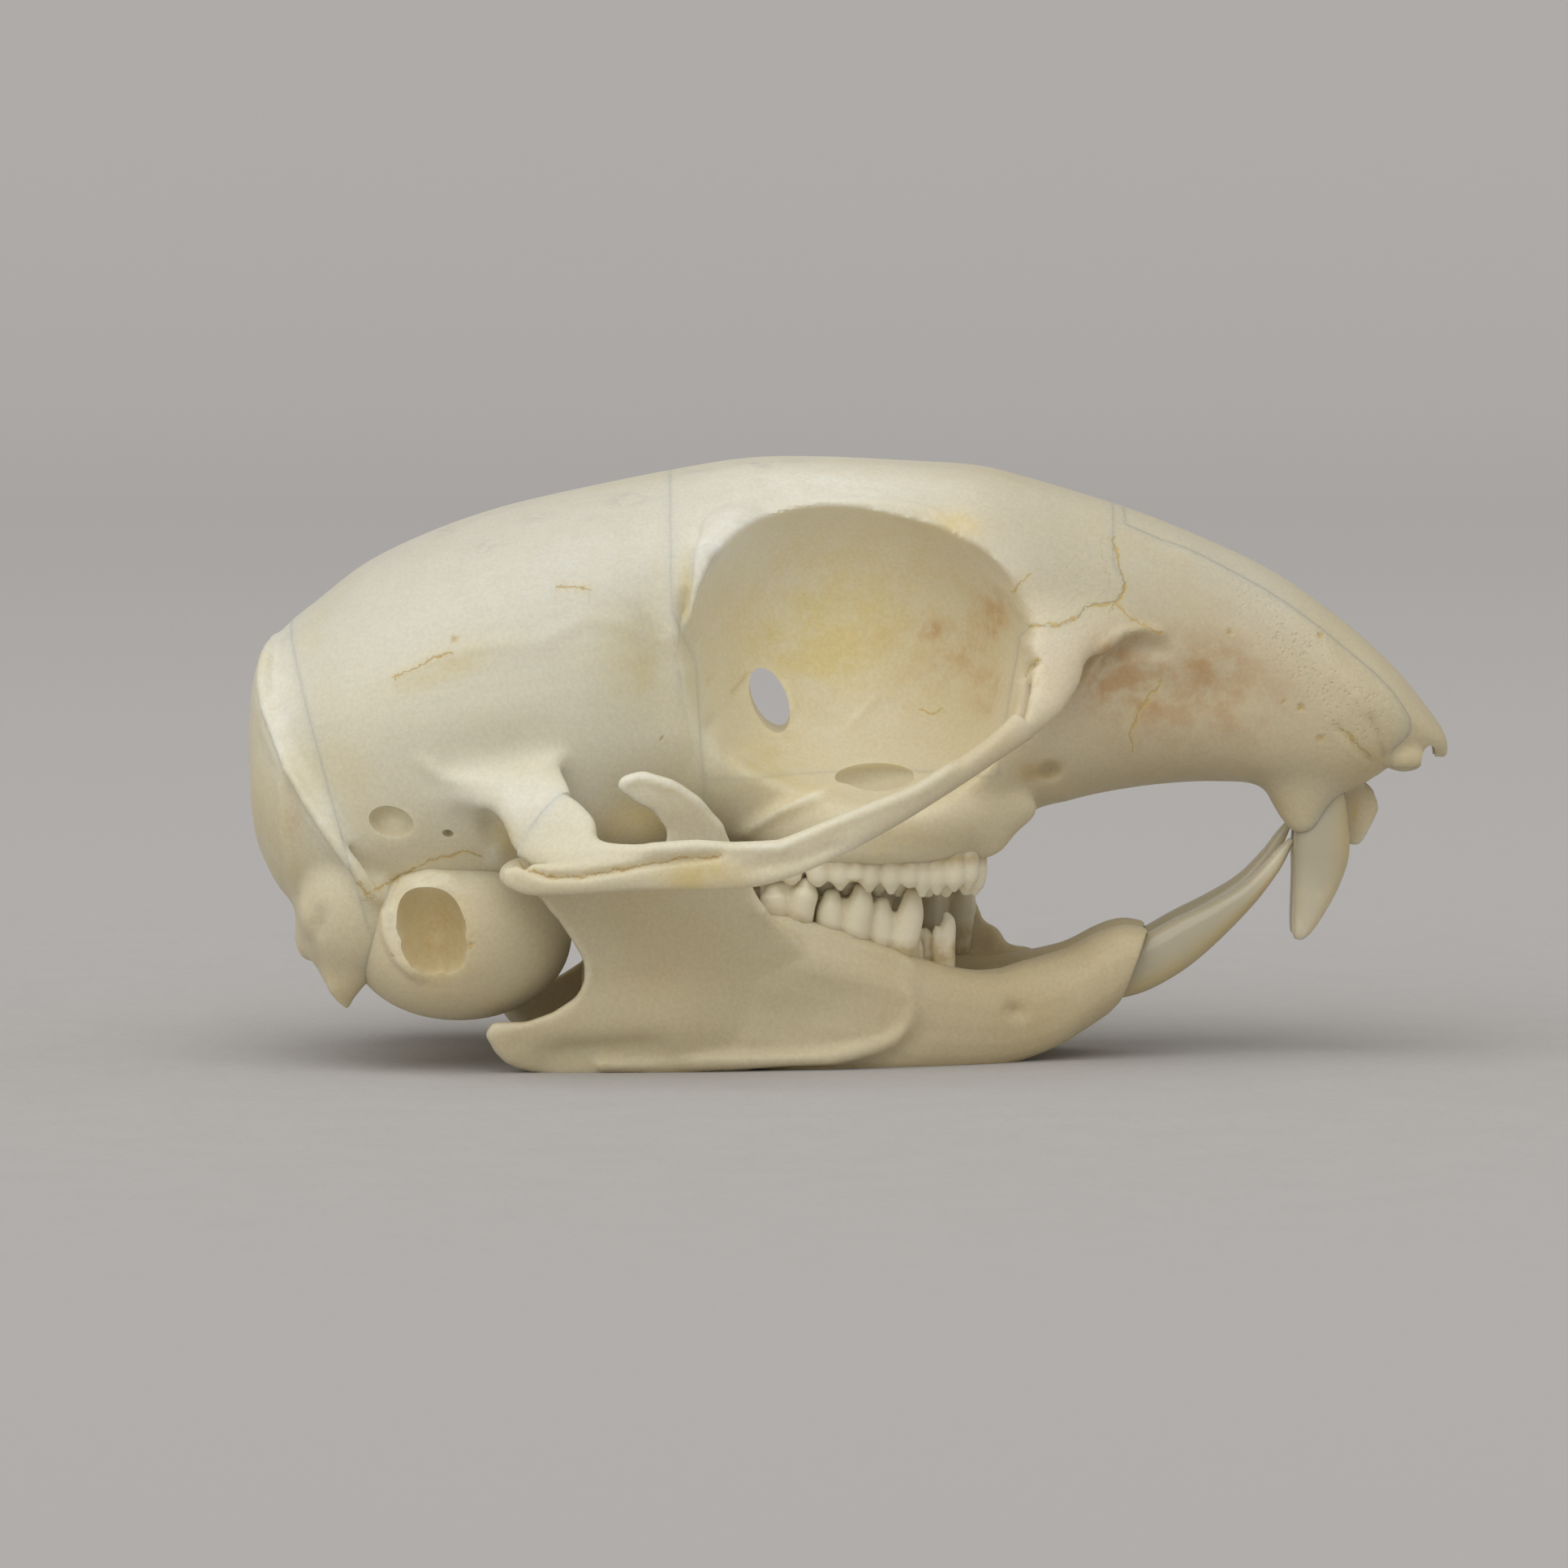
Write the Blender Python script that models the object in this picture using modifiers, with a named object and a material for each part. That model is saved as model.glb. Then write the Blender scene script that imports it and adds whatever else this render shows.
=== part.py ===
"""Ground squirrel skull, life size, resting on its lower jaws.

The nose points along +X, +Z is up and the animal's right side faces -Y. The
origin is on the floor under the middle of the skull. Every size below is in
millimetres, and each finished bone is scaled to metres. A place written for
one side is written for the right one and mirrored by `side` (-1 or +1).
"""

import math

import bmesh
import bpy
import numpy as np
from mathutils import Matrix, Vector

MM = 0.001
GAP = 0.3            # the space kept between bones that touch
RIGHT, LEFT = -1, 1
SIDE_NAME = {RIGHT: "right", LEFT: "left"}

# Driving sizes of the whole skull
SKULL_LENGTH = 42.0
NOSE_X = SKULL_LENGTH / 2
BACK_X = -SKULL_LENGTH / 2

# Resolution of the solids
VOXEL = 0.22         # grid on which the fused bones are rounded
RING = 28            # points round a lofted section

# Triangles kept for each bone once it is rounded
CRANIUM_TRIANGLES = 4200
BULLA_TRIANGLES = 440
ARCH_TRIANGLES = 420
JAW_TRIANGLES = 900
INCISOR_SIDES = 8

# The core of the cranium: x, top, bottom, half width, height of the widest
# level, roundness of the upper and of the lower half (2 is an ellipse)
CORE = [
    (BACK_X + 0.03, 11.9, 10.2, 1.6, 11.1, 2.0, 2.0),
    (-20.7, 13.3, 7.9, 4.4, 11.0, 2.1, 2.1),
    (-20.3, 14.15, 6.7, 5.6, 10.8, 2.2, 2.2),
    (-19.6, 15.05, 5.6, 6.7, 10.3, 2.2, 2.4),
    (-18.5, 15.95, 4.9, 7.6, 9.9, 2.2, 2.5),
    (-16.8, 17.25, 4.7, 8.3, 10.4, 2.2, 2.6),
    (-14.5, 18.35, 4.7, 8.75, 11.4, 2.2, 2.6),
    (-12.0, 19.2, 4.9, 8.9, 12.0, 2.2, 2.5),
    (-9.0, 19.9, 5.6, 8.6, 12.4, 2.2, 2.4),
    (-6.0, 20.5, 7.0, 7.6, 12.7, 2.3, 2.6),
    (-3.5, 20.88, 7.3, 6.7, 12.9, 2.6, 3.2),
    (-1.0, 20.92, 7.2, 6.1, 13.0, 2.9, 3.8),
    (2.0, 20.78, 7.15, 5.85, 13.0, 3.0, 4.0),
    (4.5, 20.62, 7.3, 5.6, 13.1, 2.9, 3.8),
    (6.2, 20.22, 8.5, 5.3, 13.2, 2.6, 3.2),
    (8.0, 19.7, 9.15, 4.75, 13.2, 2.4, 3.0),
    (10.0, 19.06, 9.5, 4.2, 13.2, 2.4, 2.8),
    (12.0, 18.28, 9.65, 3.8, 13.0, 2.3, 2.7),
    (14.0, 17.38, 9.55, 3.5, 12.6, 2.2, 2.6),
    (15.5, 16.52, 9.2, 3.3, 12.2, 2.2, 2.5),
    (17.0, 15.42, 9.1, 3.05, 11.9, 2.2, 2.4),
    (18.2, 14.42, 9.6, 2.75, 11.9, 2.2, 2.4),
    (19.2, 13.45, 10.1, 2.35, 11.8, 2.1, 2.2),
    (20.1, 12.35, 10.35, 1.85, 11.4, 2.0, 2.0),
    (20.75, 11.45, 10.4, 1.2, 10.95, 2.0, 2.0),
    (NOSE_X - 0.02, 10.9, 10.45, 0.5, 10.7, 2.0, 2.0),
]

# Orbit: the bowl that each eye sat in
ORBIT_CENTRE = (0.45, 8.9, 14.35)
ORBIT_RADII = (5.9, 8.55, 5.2)
ORBIT_POWER = 2.6                    # 2 is an ellipsoid, more is boxier
ORBIT_LEAN = math.radians(14)
OPTIC_HOLE = (-2.75, 12.5)
OPTIC_RADII = (0.62, 1.15)
OPTIC_LEAN = math.radians(-20)

# Swellings on each side: name, centre, radii and turn about Y in degrees
SWELLINGS = [
    ("mastoid", (-17.0, 6.2, 5.5), (1.9, 1.85, 2.3), 0),
    ("occipital_condyle", (-18.5, 2.8, 4.65), (1.1, 0.95, 1.65), 25),
    ("exoccipital", (-17.7, 4.4, 5.0), (1.5, 2.4, 2.3), 0),
    ("tear_knob", (6.1, 5.8, 14.15), (0.6, 0.7, 1.0), 0),
    ("muscle_tubercle", (5.9, 4.7, 8.85), (0.95, 0.75, 0.8), 0),
    ("cheek_front", (4.2, 4.65, 8.5), (1.7, 1.0, 1.3), 12),
    ("tooth_capsule", (0.6, 4.9, 8.45), (4.6, 1.75, 1.5), 0),
    ("incisor_sheath", (15.9, 1.3, 9.6), (1.35, 1.2, 1.9), -8),
]

# Hollows on each side, in the same form
HOLLOWS = [
    ("palatine_hole", (0.9, 3.2, 9.95), (1.4, 1.5, 0.55), 0),
    ("infraorbital_hole", (7.0, 4.9, 10.25), (0.5, 1.2, 0.6), 0),
    ("muscle_hollow", (11.4, 5.5, 13.0), (3.2, 1.8, 1.8), 12),
    ("temporal_hole", (-15.7, 8.6, 8.75), (0.75, 1.6, 0.55), 10),
    ("jaw_socket", (-10.8, 9.3, 6.9), (2.0, 1.9, 1.4), 0),
    ("alveolus", (17.2, 2.1, 8.3), (1.5, 1.3, 1.6), 25),
]
INNER_NARES = ((-4.4, 0.0, 6.7), (3.4, 1.35, 1.5))
OPTIC_REACH = 9.0

# Spine of bone below each ear capsule's back: x, y, z and radius
PAROCCIPITAL_PROCESS = [
    (-16.9, 6.0, 5.2, 1.3), (-17.2, 6.2, 3.6, 0.9), (-17.4, 6.05, 2.75, 0.6),
    (-17.35, 5.9, 2.2, 0.3),
]

# Thin plates. Each station is one edge, the other edge and the thickness.
POSTORBITAL_SPINE = [
    ((-2.2, 3.9, 19.2), (-4.9, 4.2, 18.9), 1.2),
    ((-3.0, 5.6, 18.9), (-5.1, 5.8, 18.6), 1.1),
    ((-3.9, 7.0, 18.2), (-5.4, 7.1, 17.9), 0.9),
    ((-4.7, 8.0, 17.1), (-5.5, 8.05, 16.9), 0.75),
    ((-5.15, 8.6, 15.6), (-5.6, 8.6, 15.55), 0.5),
]
PTERYGOID_PLATE = [
    ((-2.4, 2.0, 9.2), (-2.4, 2.0, 7.0), 0.9),
    ((-4.5, 1.9, 9.4), (-4.5, 1.95, 6.0), 0.8),
    ((-6.5, 1.9, 8.6), (-6.7, 2.0, 5.2), 0.8),
    ((-8.2, 2.0, 7.0), (-8.4, 2.1, 4.2), 0.8),
    ((-9.3, 2.1, 4.9), (-9.6, 2.15, 2.9), 0.8),
    ((-10.1, 2.15, 3.9), (-10.2, 2.2, 2.75), 0.6),
]
INCISOR_SEPTUM = [
    ((15.0, 0.0, 10.6), (15.6, 0.0, 8.4), 1.0),
    ((16.8, 0.0, 10.2), (16.6, 0.0, 8.0), 0.8),
    ((18.2, 0.0, 9.5), (17.6, 0.0, 7.3), 0.8),
    ((18.55, 0.0, 8.6), (17.9, 0.0, 7.5), 0.7),
]

# Hole for the spinal cord, and the braincase hollow that shows through it
CORD_HOLE_CENTRE = (-17.2, 6.6)
CORD_HOLE_RADII = (4.9, 2.5, 2.15)

# Nasal opening under the tips of the nose bones
NOSTRIL_BACK = (14.2, 12.7)
NOSTRIL_FRONT = (20.6, 10.0)
NOSTRIL_RADIUS = (1.55, 1.5)

# Ear capsule
BULLA_CENTRE = (-13.35, 5.35, 4.66)
BULLA_RADII = (4.05, 3.2, 2.97)
BULLA_YAW = math.radians(14)
EAR_CENTRE = (-14.3, 8.35, 5.0)      # middle of the ear hole's rim
EAR_HOLE = (1.15, 1.4)               # half its width and height
EAR_RIM = 0.5
EAR_DEPTH = 3.0
EAR_RIM_BACK = 1.3                   # the rim starts this far inside its face
EAR_RIM_REACH = 1.75

# Planes on which the cranium is parted, as outlines in side view (x, z)
OCCIPUT_SEAM = ((-19.62, 16.0), (-16.3, 4.4))
FRONT_SEAM = [(-5.0, -5.0), (-5.0, 10.1), (-5.3, 14.0), (-6.1, 16.0), (-6.4, 30.0)]
FACE_SEAM = [(5.1, 10.1), (6.05, 15.6), (9.15, 16.4), (9.45, 30.0)]
NOSE_SEAM_DEPTH = 0.95               # thickness of the nose bones
NOSE_SEAM_BACK = 9.6
NOSE_HOOD_X = 18.9                   # in front of it they reach further down
NOSE_HOOD_Z = 10.2
NOSE_HALF_WIDTH = 2.15

# Cheek arch. Each station is the upper edge, the lower edge and the thickness.
ARCH = [
    ((6.1, 5.0, 15.9), (10.9, 3.3, 15.35), 1.0),
    ((6.15, 5.6, 15.1), (9.7, 4.55, 14.9), 0.9),
    ((5.95, 6.5, 13.8), (8.45, 5.5, 14.05), 0.85),
    ((6.05, 7.1, 13.0), (7.75, 6.4, 12.75), 0.8),
    ((5.45, 8.1, 12.3), (6.6, 7.6, 11.8), 0.8),
    ((4.25, 9.4, 11.3), (4.35, 9.2, 10.5), 0.85),
    ((2.25, 10.9, 10.15), (2.25, 10.9, 9.25), 0.9),
    ((1.1, 11.6, 9.68), (1.1, 11.65, 8.6), 0.9),
    ((-0.45, 12.15, 9.12), (-0.45, 12.3, 7.8), 0.85),
    ((-2.2, 12.5, 8.5), (-2.2, 12.7, 7.1), 0.8),
    ((-4.05, 12.7, 8.33), (-4.05, 12.95, 6.78), 0.75),
    ((-7.4, 12.75, 8.1), (-7.4, 13.0, 6.75), 0.75),
    ((-9.3, 12.6, 7.75), (-9.3, 12.75, 6.6), 0.75),
    ((-10.9, 12.25, 7.6), (-10.9, 12.3, 6.55), 0.7),
    ((-11.7, 12.0, 7.45), (-11.7, 12.0, 6.85), 0.55),
]
ARCH_ON_FACE = 7             # stations that the upper jaw's root is drawn from
ARCH_FREE = 3                # first station of the free arch
ARCH_FRONT_CUT = ((5.9, 7.95, 12.0), (-0.55, 0.65, -0.52))

# Rear root of the arch, from the side of the braincase
REAR_ROOT = [
    ((-13.9, 7.6, 10.2), (-13.3, 7.9, 9.4), 1.6),
    ((-13.4, 8.6, 10.2), (-13.1, 8.8, 9.3), 1.3),
    ((-11.6, 9.4, 10.4), (-12.15, 9.7, 8.85), 1.15),
    ((-9.75, 10.3, 9.9), (-11.35, 10.8, 7.75), 1.0),
    ((-8.75, 11.2, 9.15), (-10.45, 11.75, 7.35), 0.95),
    ((-8.45, 12.1, 8.4), (-9.5, 12.3, 7.4), 0.9),
    ((-7.1, 12.65, 8.3), (-7.45, 12.75, 7.55), 0.85),
    ((-5.45, 12.75, 8.34), (-5.45, 12.85, 7.8), 0.75),
    ((-4.25, 12.7, 8.3), (-4.25, 12.75, 8.0), 0.6),
]
REAR_ROOT_ON_BRAINCASE = 6
REAR_ROOT_FREE = 2
REAR_ROOT_CUT = ((-10.4, 10.6, 8.8), (0.62, 0.72, -0.3))
ROOT_CUTTER = 5.2            # edge of the block that trims a root

# Ridge where the neck muscles held on: from the midline down to the ear
NUCHAL_CREST = [
    (-19.95, 0.0, 14.5),
    (-20.05, 2.0, 14.35),
    (-20.15, 3.7, 13.95),
    (-20.15, 5.0, 13.2),
    (-19.9, 6.0, 12.2),
    (-19.4, 6.95, 11.0),
    (-18.8, 7.6, 9.9),
    (-18.1, 8.0, 8.8),
    (-17.4, 8.2, 7.85),
    (-16.7, 8.3, 6.9),
    (-16.2, 8.1, 6.1),
]
CREST_RADIUS = 0.42

# Lower jaw. Stations of the body are upper edge, lower edge and thickness.
JAW_BODY = [
    ((-5.5, 6.5, 5.4), (-5.5, 6.2, 0.55), 1.3),
    ((-3.6, 5.8, 5.3), (-3.6, 5.9, 0.15), 2.0),
    ((-2.2, 5.2, 5.2), (-2.2, 5.3, -0.1), 2.6),
    ((0.3, 4.6, 4.5), (0.3, 4.6, -0.25), 2.8),
    ((2.0, 4.2, 3.9), (2.0, 4.0, -0.25), 2.7),
    ((4.0, 3.4, 3.3), (4.0, 3.1, -0.25), 2.7),
    ((5.5, 2.7, 3.25), (5.5, 2.3, -0.1), 2.7),
    ((7.5, 1.8, 3.7), (7.2, 1.65, 0.5), 3.0),
    ((8.7, 1.55, 4.3), (8.2, 1.5, 1.0), 3.0),
    ((9.7, 1.5, 4.65), (9.0, 1.5, 1.5), 2.9),
    ((10.45, 1.5, 4.55), (9.5, 1.5, 2.0), 2.6),
]
# Thin plate behind it: outline in side view, as x and z
JAW_PLATE = [
    (-1.0, 1.6), (-1.6, 0.35), (-4.0, -0.1), (-8.0, -0.25), (-10.2, -0.2),
    (-11.35, 0.25), (-12.1, 0.8), (-12.5, 1.35), (-12.25, 1.75),
    (-11.1, 1.8), (-10.2, 2.12), (-9.4, 2.65), (-9.02, 3.3), (-9.05, 4.0),
    (-9.45, 4.75), (-9.95, 5.5), (-10.6, 6.2), (-11.4, 6.6), (-11.5, 7.1),
    (-10.7, 7.35), (-9.6, 7.0), (-8.4, 6.75), (-7.1, 7.1), (-6.35, 7.8),
    (-6.3, 8.5), (-6.75, 9.2), (-7.5, 9.65), (-7.95, 10.05), (-7.75, 10.4),
    (-7.0, 10.5), (-6.1, 10.25), (-5.2, 9.6), (-4.4, 8.7), (-3.85, 7.6),
    (-3.3, 6.4), (-2.9, 5.4), (-1.8, 4.6), (-0.9, 3.2),
]
JAW_PLATE_THICKNESS = 0.8
# How far the plate stands from the midline, by height above the floor
JAW_SPREAD = [(-1.0, 6.3), (0.0, 6.6), (1.5, 7.35), (3.5, 7.6), (6.0, 8.4),
              (7.5, 9.2), (9.0, 9.65), (11.0, 9.75)]
# Its share of that spread, by place along the jaw
JAW_SPREAD_ALONG = [(-13.0, 1.0), (-9.0, 1.0), (-6.0, 0.97), (-3.0, 0.84),
                    (-1.0, 0.74), (1.0, 0.66)]
CONDYLE_CENTRE = (-11.0, 9.1, 7.0)
CONDYLE_RADII = (1.0, 0.9, 0.62)
MUSCLE_RIDGE = [(-8.5, 7.0, 0.4), (-5.0, 6.6, 0.4), (-2.0, 6.1, 0.5),
                (0.2, 5.75, 0.7), (1.6, 5.35, 1.25), (1.9, 5.2, 1.9)]
MUSCLE_RIDGE_RADIUS = 0.4

# Incisors: centre line x, z, then half depth and half width
UPPER_INCISOR_Y = 1.1
UPPER_INCISOR = [
    (15.9, 10.6, 0.7, 0.4), (16.25, 9.7, 0.8, 0.42), (16.45, 8.9, 0.9, 0.5),
    (16.5, 8.1, 0.95, 0.62), (16.5, 7.2, 1.0, 0.66),
    (16.38, 6.4, 0.88, 0.64), (16.18, 5.6, 0.7, 0.6),
    (15.93, 4.75, 0.44, 0.52), (15.8, 4.08, 0.1, 0.35),
]
LOWER_INCISOR = [
    (8.3, 2.65, 0.75, 0.5), (9.8, 3.05, 0.88, 0.54), (10.9, 3.6, 0.9, 0.58),
    (11.83, 4.18, 0.83, 0.58), (12.88, 4.88, 0.63, 0.55), (13.93, 5.7, 0.42, 0.5),
    (14.75, 6.6, 0.3, 0.44), (15.15, 7.15, 0.22, 0.36), (15.5, 7.6, 0.1, 0.2),
]
LOWER_INCISOR_Y = (1.5, 0.75)       # at the socket and at the tip
LEFT_TIP_LIFT = 0.55                # the left lower one stands a little higher
SOCKET_SLACK = 0.3

# Cheek teeth: x of the middle, length, width, distance from the midline
UPPER_TEETH = [
    (4.15, 0.7, 1.0, 4.75), (3.05, 1.45, 1.9, 4.7), (1.35, 1.7, 2.1, 4.75),
    (-0.4, 1.7, 2.15, 4.85), (-2.25, 1.85, 2.1, 4.85),
]
LOWER_TEETH = [
    (1.6, 1.8, 1.6, 4.05), (-0.28, 1.8, 1.7, 4.4), (-2.2, 1.95, 1.75, 4.75),
]
UPPER_NECK_Z = 7.2
UPPER_TIP_Z = 6.3
LOWER_TIP_Z = 5.95
CUSP = 0.45
TOOTH_ROOT = 1.3             # how deep a tooth's root sits in its bone
TOOTH_SIDES = 8
# What is left of the right lower premolar: x, y, z of its base and tip
PREMOLAR_STUB = ((3.3, 3.5, 2.7), (3.4, 3.55, 5.1))


def curve_value(table, x):
    """Smooth value at x through the (x, value) pairs of a table."""
    xs = np.array([row[0] for row in table], float)
    ys = np.array([row[1] for row in table], float)
    slopes = np.gradient(ys, xs)
    x = min(max(x, xs[0]), xs[-1])
    i = min(int(np.searchsorted(xs, x, side="right")) - 1, len(xs) - 2)
    span = xs[i + 1] - xs[i]
    t = (x - xs[i]) / span
    near = (1 + 2 * t) * (1 - t) ** 2 * ys[i] + t * (1 - t) ** 2 * span * slopes[i]
    far = t * t * (3 - 2 * t) * ys[i + 1] - t * t * (1 - t) * span * slopes[i + 1]
    return float(near + far)


def smooth_rows(rows, steps):
    """The rows with `steps` rows for each one, on a smooth curve through them."""
    data = np.array(rows, float)
    padded = np.vstack([2 * data[0] - data[1], data, 2 * data[-1] - data[-2]])
    made = []
    for i in range(1, len(data)):
        a, b, c, d = padded[i - 1], padded[i], padded[i + 1], padded[i + 2]
        for step in range(steps):
            t = step / steps
            made.append(0.5 * (2 * b + (c - a) * t
                               + (2 * a - 5 * b + 4 * c - d) * t * t
                               + (3 * b - a - 3 * c + d) * t ** 3))
    made.append(data[-1])
    return np.array(made)


def superellipse(count, upper, lower):
    """Unit section points (across, up) with their own roundness above and below."""
    points = []
    for i in range(count):
        angle = 2 * math.pi * i / count
        across, up = math.cos(angle), math.sin(angle)
        power = 2 / (upper if up >= 0 else lower)
        points.append((math.copysign(abs(across) ** power, across),
                       math.copysign(abs(up) ** power, up)))
    return points


def new_object(name, mesh_data):
    obj = bpy.data.objects.new(name, mesh_data)
    bpy.context.scene.collection.objects.link(obj)
    return obj


def object_from_bmesh(name, bm):
    bmesh.ops.recalc_face_normals(bm, faces=bm.faces[:])
    mesh = bpy.data.meshes.new(name)
    bm.to_mesh(mesh)
    bm.free()
    return new_object(name, mesh)


def skin_rings(name, rings):
    """A closed loft through rings that have the same number of points."""
    bm = bmesh.new()
    loops = [[bm.verts.new(point) for point in ring] for ring in rings]
    for first, second in zip(loops, loops[1:]):
        count = len(first)
        for i in range(count):
            j = (i + 1) % count
            bm.faces.new((first[i], first[j], second[j], second[i]))
    bm.faces.new(loops[0])
    bm.faces.new(loops[-1])
    bmesh.ops.triangulate(bm, faces=[f for f in bm.faces if len(f.verts) > 4])
    return object_from_bmesh(name, bm)


def ellipsoid(name, centre, radii, turn=None, segments=24, rings=16, power=2.0):
    bm = bmesh.new()
    bmesh.ops.create_uvsphere(bm, u_segments=segments, v_segments=rings, radius=1)
    for vert in bm.verts:
        vert.co /= sum(abs(c) ** power for c in vert.co) ** (1 / power)
    matrix = Matrix.Translation(centre)
    if turn is not None:
        matrix = matrix @ turn
    bm.transform(matrix @ Matrix.Diagonal((*radii, 1)))
    return object_from_bmesh(name, bm)


def tapered_tube(name, points, radii, sides=12):
    """A round bar through the points, with its own radius at each."""
    centres = [Vector(p) for p in points]
    rings = []
    for i, centre in enumerate(centres):
        ahead = centres[min(i + 1, len(centres) - 1)]
        behind = centres[max(i - 1, 0)]
        along = (ahead - behind).normalized()
        first = along.orthogonal().normalized() if i == 0 else first
        first = (first - along * first.dot(along)).normalized()
        second = along.cross(first)
        ring = []
        for k in range(sides):
            angle = 2 * math.pi * k / sides
            offset = first * math.cos(angle) + second * math.sin(angle)
            ring.append(centre + offset * radii[i])
        rings.append(ring)
    return skin_rings(name, rings)


def ribbon(name, stations, side, steps=3, sides=12):
    """A flat bar whose section reaches from a lower to an upper edge."""
    rows = [(*upper, *lower, thick) for upper, lower, thick in stations]
    rows = smooth_rows(rows, steps)
    middles = (rows[:, 0:3] + rows[:, 3:6]) / 2
    runs = np.gradient(middles, axis=0)
    rings = []
    for row, middle, run in zip(rows, middles, runs):
        major = Vector((row[0:3] - row[3:6]) / 2)
        minor = Vector(run).cross(major).normalized() * (row[6] / 2)
        ring = []
        for across, up in superellipse(sides, 2.4, 2.4):
            point = Vector(middle) + major * up + minor * across
            ring.append((point.x, point.y * side, point.z))
        rings.append(ring)
    return skin_rings(name, rings)


def prism(name, outline, low_y, high_y):
    """A side-view outline (x, z) run across the skull from low_y to high_y."""
    curve = bpy.data.curves.new(name, "CURVE")
    curve.dimensions = "2D"
    curve.fill_mode = "BOTH"
    curve.extrude = (high_y - low_y) / 2
    spline = curve.splines.new("POLY")
    spline.use_cyclic_u = True
    spline.points.add(len(outline) - 1)
    for point, (x, z) in zip(spline.points, outline):
        point.co = (x, z, 0, 1)
    drawn = new_object(name + "_outline", curve)
    drawn.matrix_world = (Matrix.Translation((0, (low_y + high_y) / 2, 0))
                          @ Matrix.Rotation(math.radians(90), 4, "X"))
    bpy.context.view_layer.update()
    graph = bpy.context.evaluated_depsgraph_get()
    mesh = bpy.data.meshes.new_from_object(drawn.evaluated_get(graph))
    mesh.transform(drawn.matrix_world)
    bpy.data.objects.remove(drawn)
    bm = bmesh.new()
    bm.from_mesh(mesh)
    bmesh.ops.remove_doubles(bm, verts=bm.verts[:], dist=1e-4)
    return object_from_bmesh(name, bm)


def apply_modifiers(obj):
    graph = bpy.context.evaluated_depsgraph_get()
    mesh = bpy.data.meshes.new_from_object(obj.evaluated_get(graph))
    obj.modifiers.clear()
    obj.data = mesh
    return obj


def boolean(obj, others, operation, solver="MANIFOLD"):
    """Joins, cuts or crops obj with a collection of closed meshes, which it then removes.

    The default solver takes several times as long on these dense meshes.
    """
    group = bpy.data.collections.new("operands")
    for other in others:
        bpy.context.scene.collection.objects.unlink(other)
        group.objects.link(other)
    modifier = obj.modifiers.new("Boolean", "BOOLEAN")
    modifier.operation = operation
    modifier.solver = solver
    modifier.operand_type = "COLLECTION"
    modifier.collection = group
    bpy.context.scene.collection.children.link(group)
    bpy.context.view_layer.update()
    apply_modifiers(obj)
    for other in list(others):
        bpy.data.objects.remove(other)
    bpy.data.collections.remove(group)
    return obj


def fuse(name, pieces, solver="MANIFOLD"):
    body, rest = pieces[0], pieces[1:]
    body.name = name
    return boolean(body, rest, "UNION", solver)


def crop(obj, name, region):
    """A copy of obj, cut down to what lies inside the region."""
    copy = new_object(name, obj.data.copy())
    return boolean(copy, [region], "INTERSECT")


def keep_largest(obj):
    """Leaves only the largest closed surface of the mesh."""
    bm = bmesh.new()
    bm.from_mesh(obj.data)
    bm.verts.ensure_lookup_table()
    seen, islands = set(), []
    for start in bm.verts:
        if start.index in seen:
            continue
        seen.add(start.index)
        island, queue = [start], [start]
        while queue:
            for edge in queue.pop().link_edges:
                for vert in edge.verts:
                    if vert.index not in seen:
                        seen.add(vert.index)
                        island.append(vert)
                        queue.append(vert)
        islands.append(island)
    islands.sort(key=len)
    loose = [vert for island in islands[:-1] for vert in island]
    bmesh.ops.delete(bm, geom=loose, context="VERTS")
    bm.to_mesh(obj.data)
    bm.free()
    return obj


def rounded(obj, triangles, voxel=VOXEL, passes=5):
    """Melts the joints of a fused bone together, then thins its mesh out."""
    remesh = obj.modifiers.new("Remesh", "REMESH")
    remesh.mode = "VOXEL"
    remesh.voxel_size = voxel
    smooth = obj.modifiers.new("Smooth", "SMOOTH")
    smooth.factor = 0.5
    smooth.iterations = passes
    apply_modifiers(obj)
    keep_largest(obj)
    obj.data.calc_loop_triangles()
    thin = obj.modifiers.new("Decimate", "DECIMATE")
    thin.ratio = triangles / len(obj.data.loop_triangles)
    return apply_modifiers(obj)


def mirrored(point, side):
    return (point[0], point[1] * side, point[2])


def block(name, point, normal, edge, depth):
    """A block that starts at the plane through `point` and runs along `normal`."""
    bm = bmesh.new()
    bmesh.ops.create_cube(bm, size=1)
    turn = Vector((0, 0, 1)).rotation_difference(normal).to_matrix().to_4x4()
    bm.transform(Matrix.Translation(point) @ turn
                 @ Matrix.Diagonal((edge, edge, depth, 1))
                 @ Matrix.Translation((0, 0, 0.5)))
    return object_from_bmesh(name, bm)


def root_block(name, cut, side, sign):
    """The block on one side of an arch's cut, half a gap away from it."""
    point, normal = (Vector(mirrored(v, side)) for v in cut)
    normal = normal.normalized() * sign
    return block(name, point - normal * (GAP / 2), normal, ROOT_CUTTER, ROOT_CUTTER)


def cranium_core():
    rings = []
    for row in smooth_rows(CORE, 2):
        x, top, bottom, half, level, upper, lower = row
        ring = []
        for across, up in superellipse(RING, upper, lower):
            z = level + up * ((top - level) if up >= 0 else (level - bottom))
            ring.append((x, across * half, z))
        rings.append(ring)
    return skin_rings("cranium_core", rings)


def turned(degrees):
    return Matrix.Rotation(math.radians(degrees), 4, "Y")


def egg(side, name, centre, radii, turn):
    """One ellipsoid of the SWELLINGS or HOLLOWS, on its side."""
    return ellipsoid(name, mirrored(centre, side), radii, turned(turn))


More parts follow.
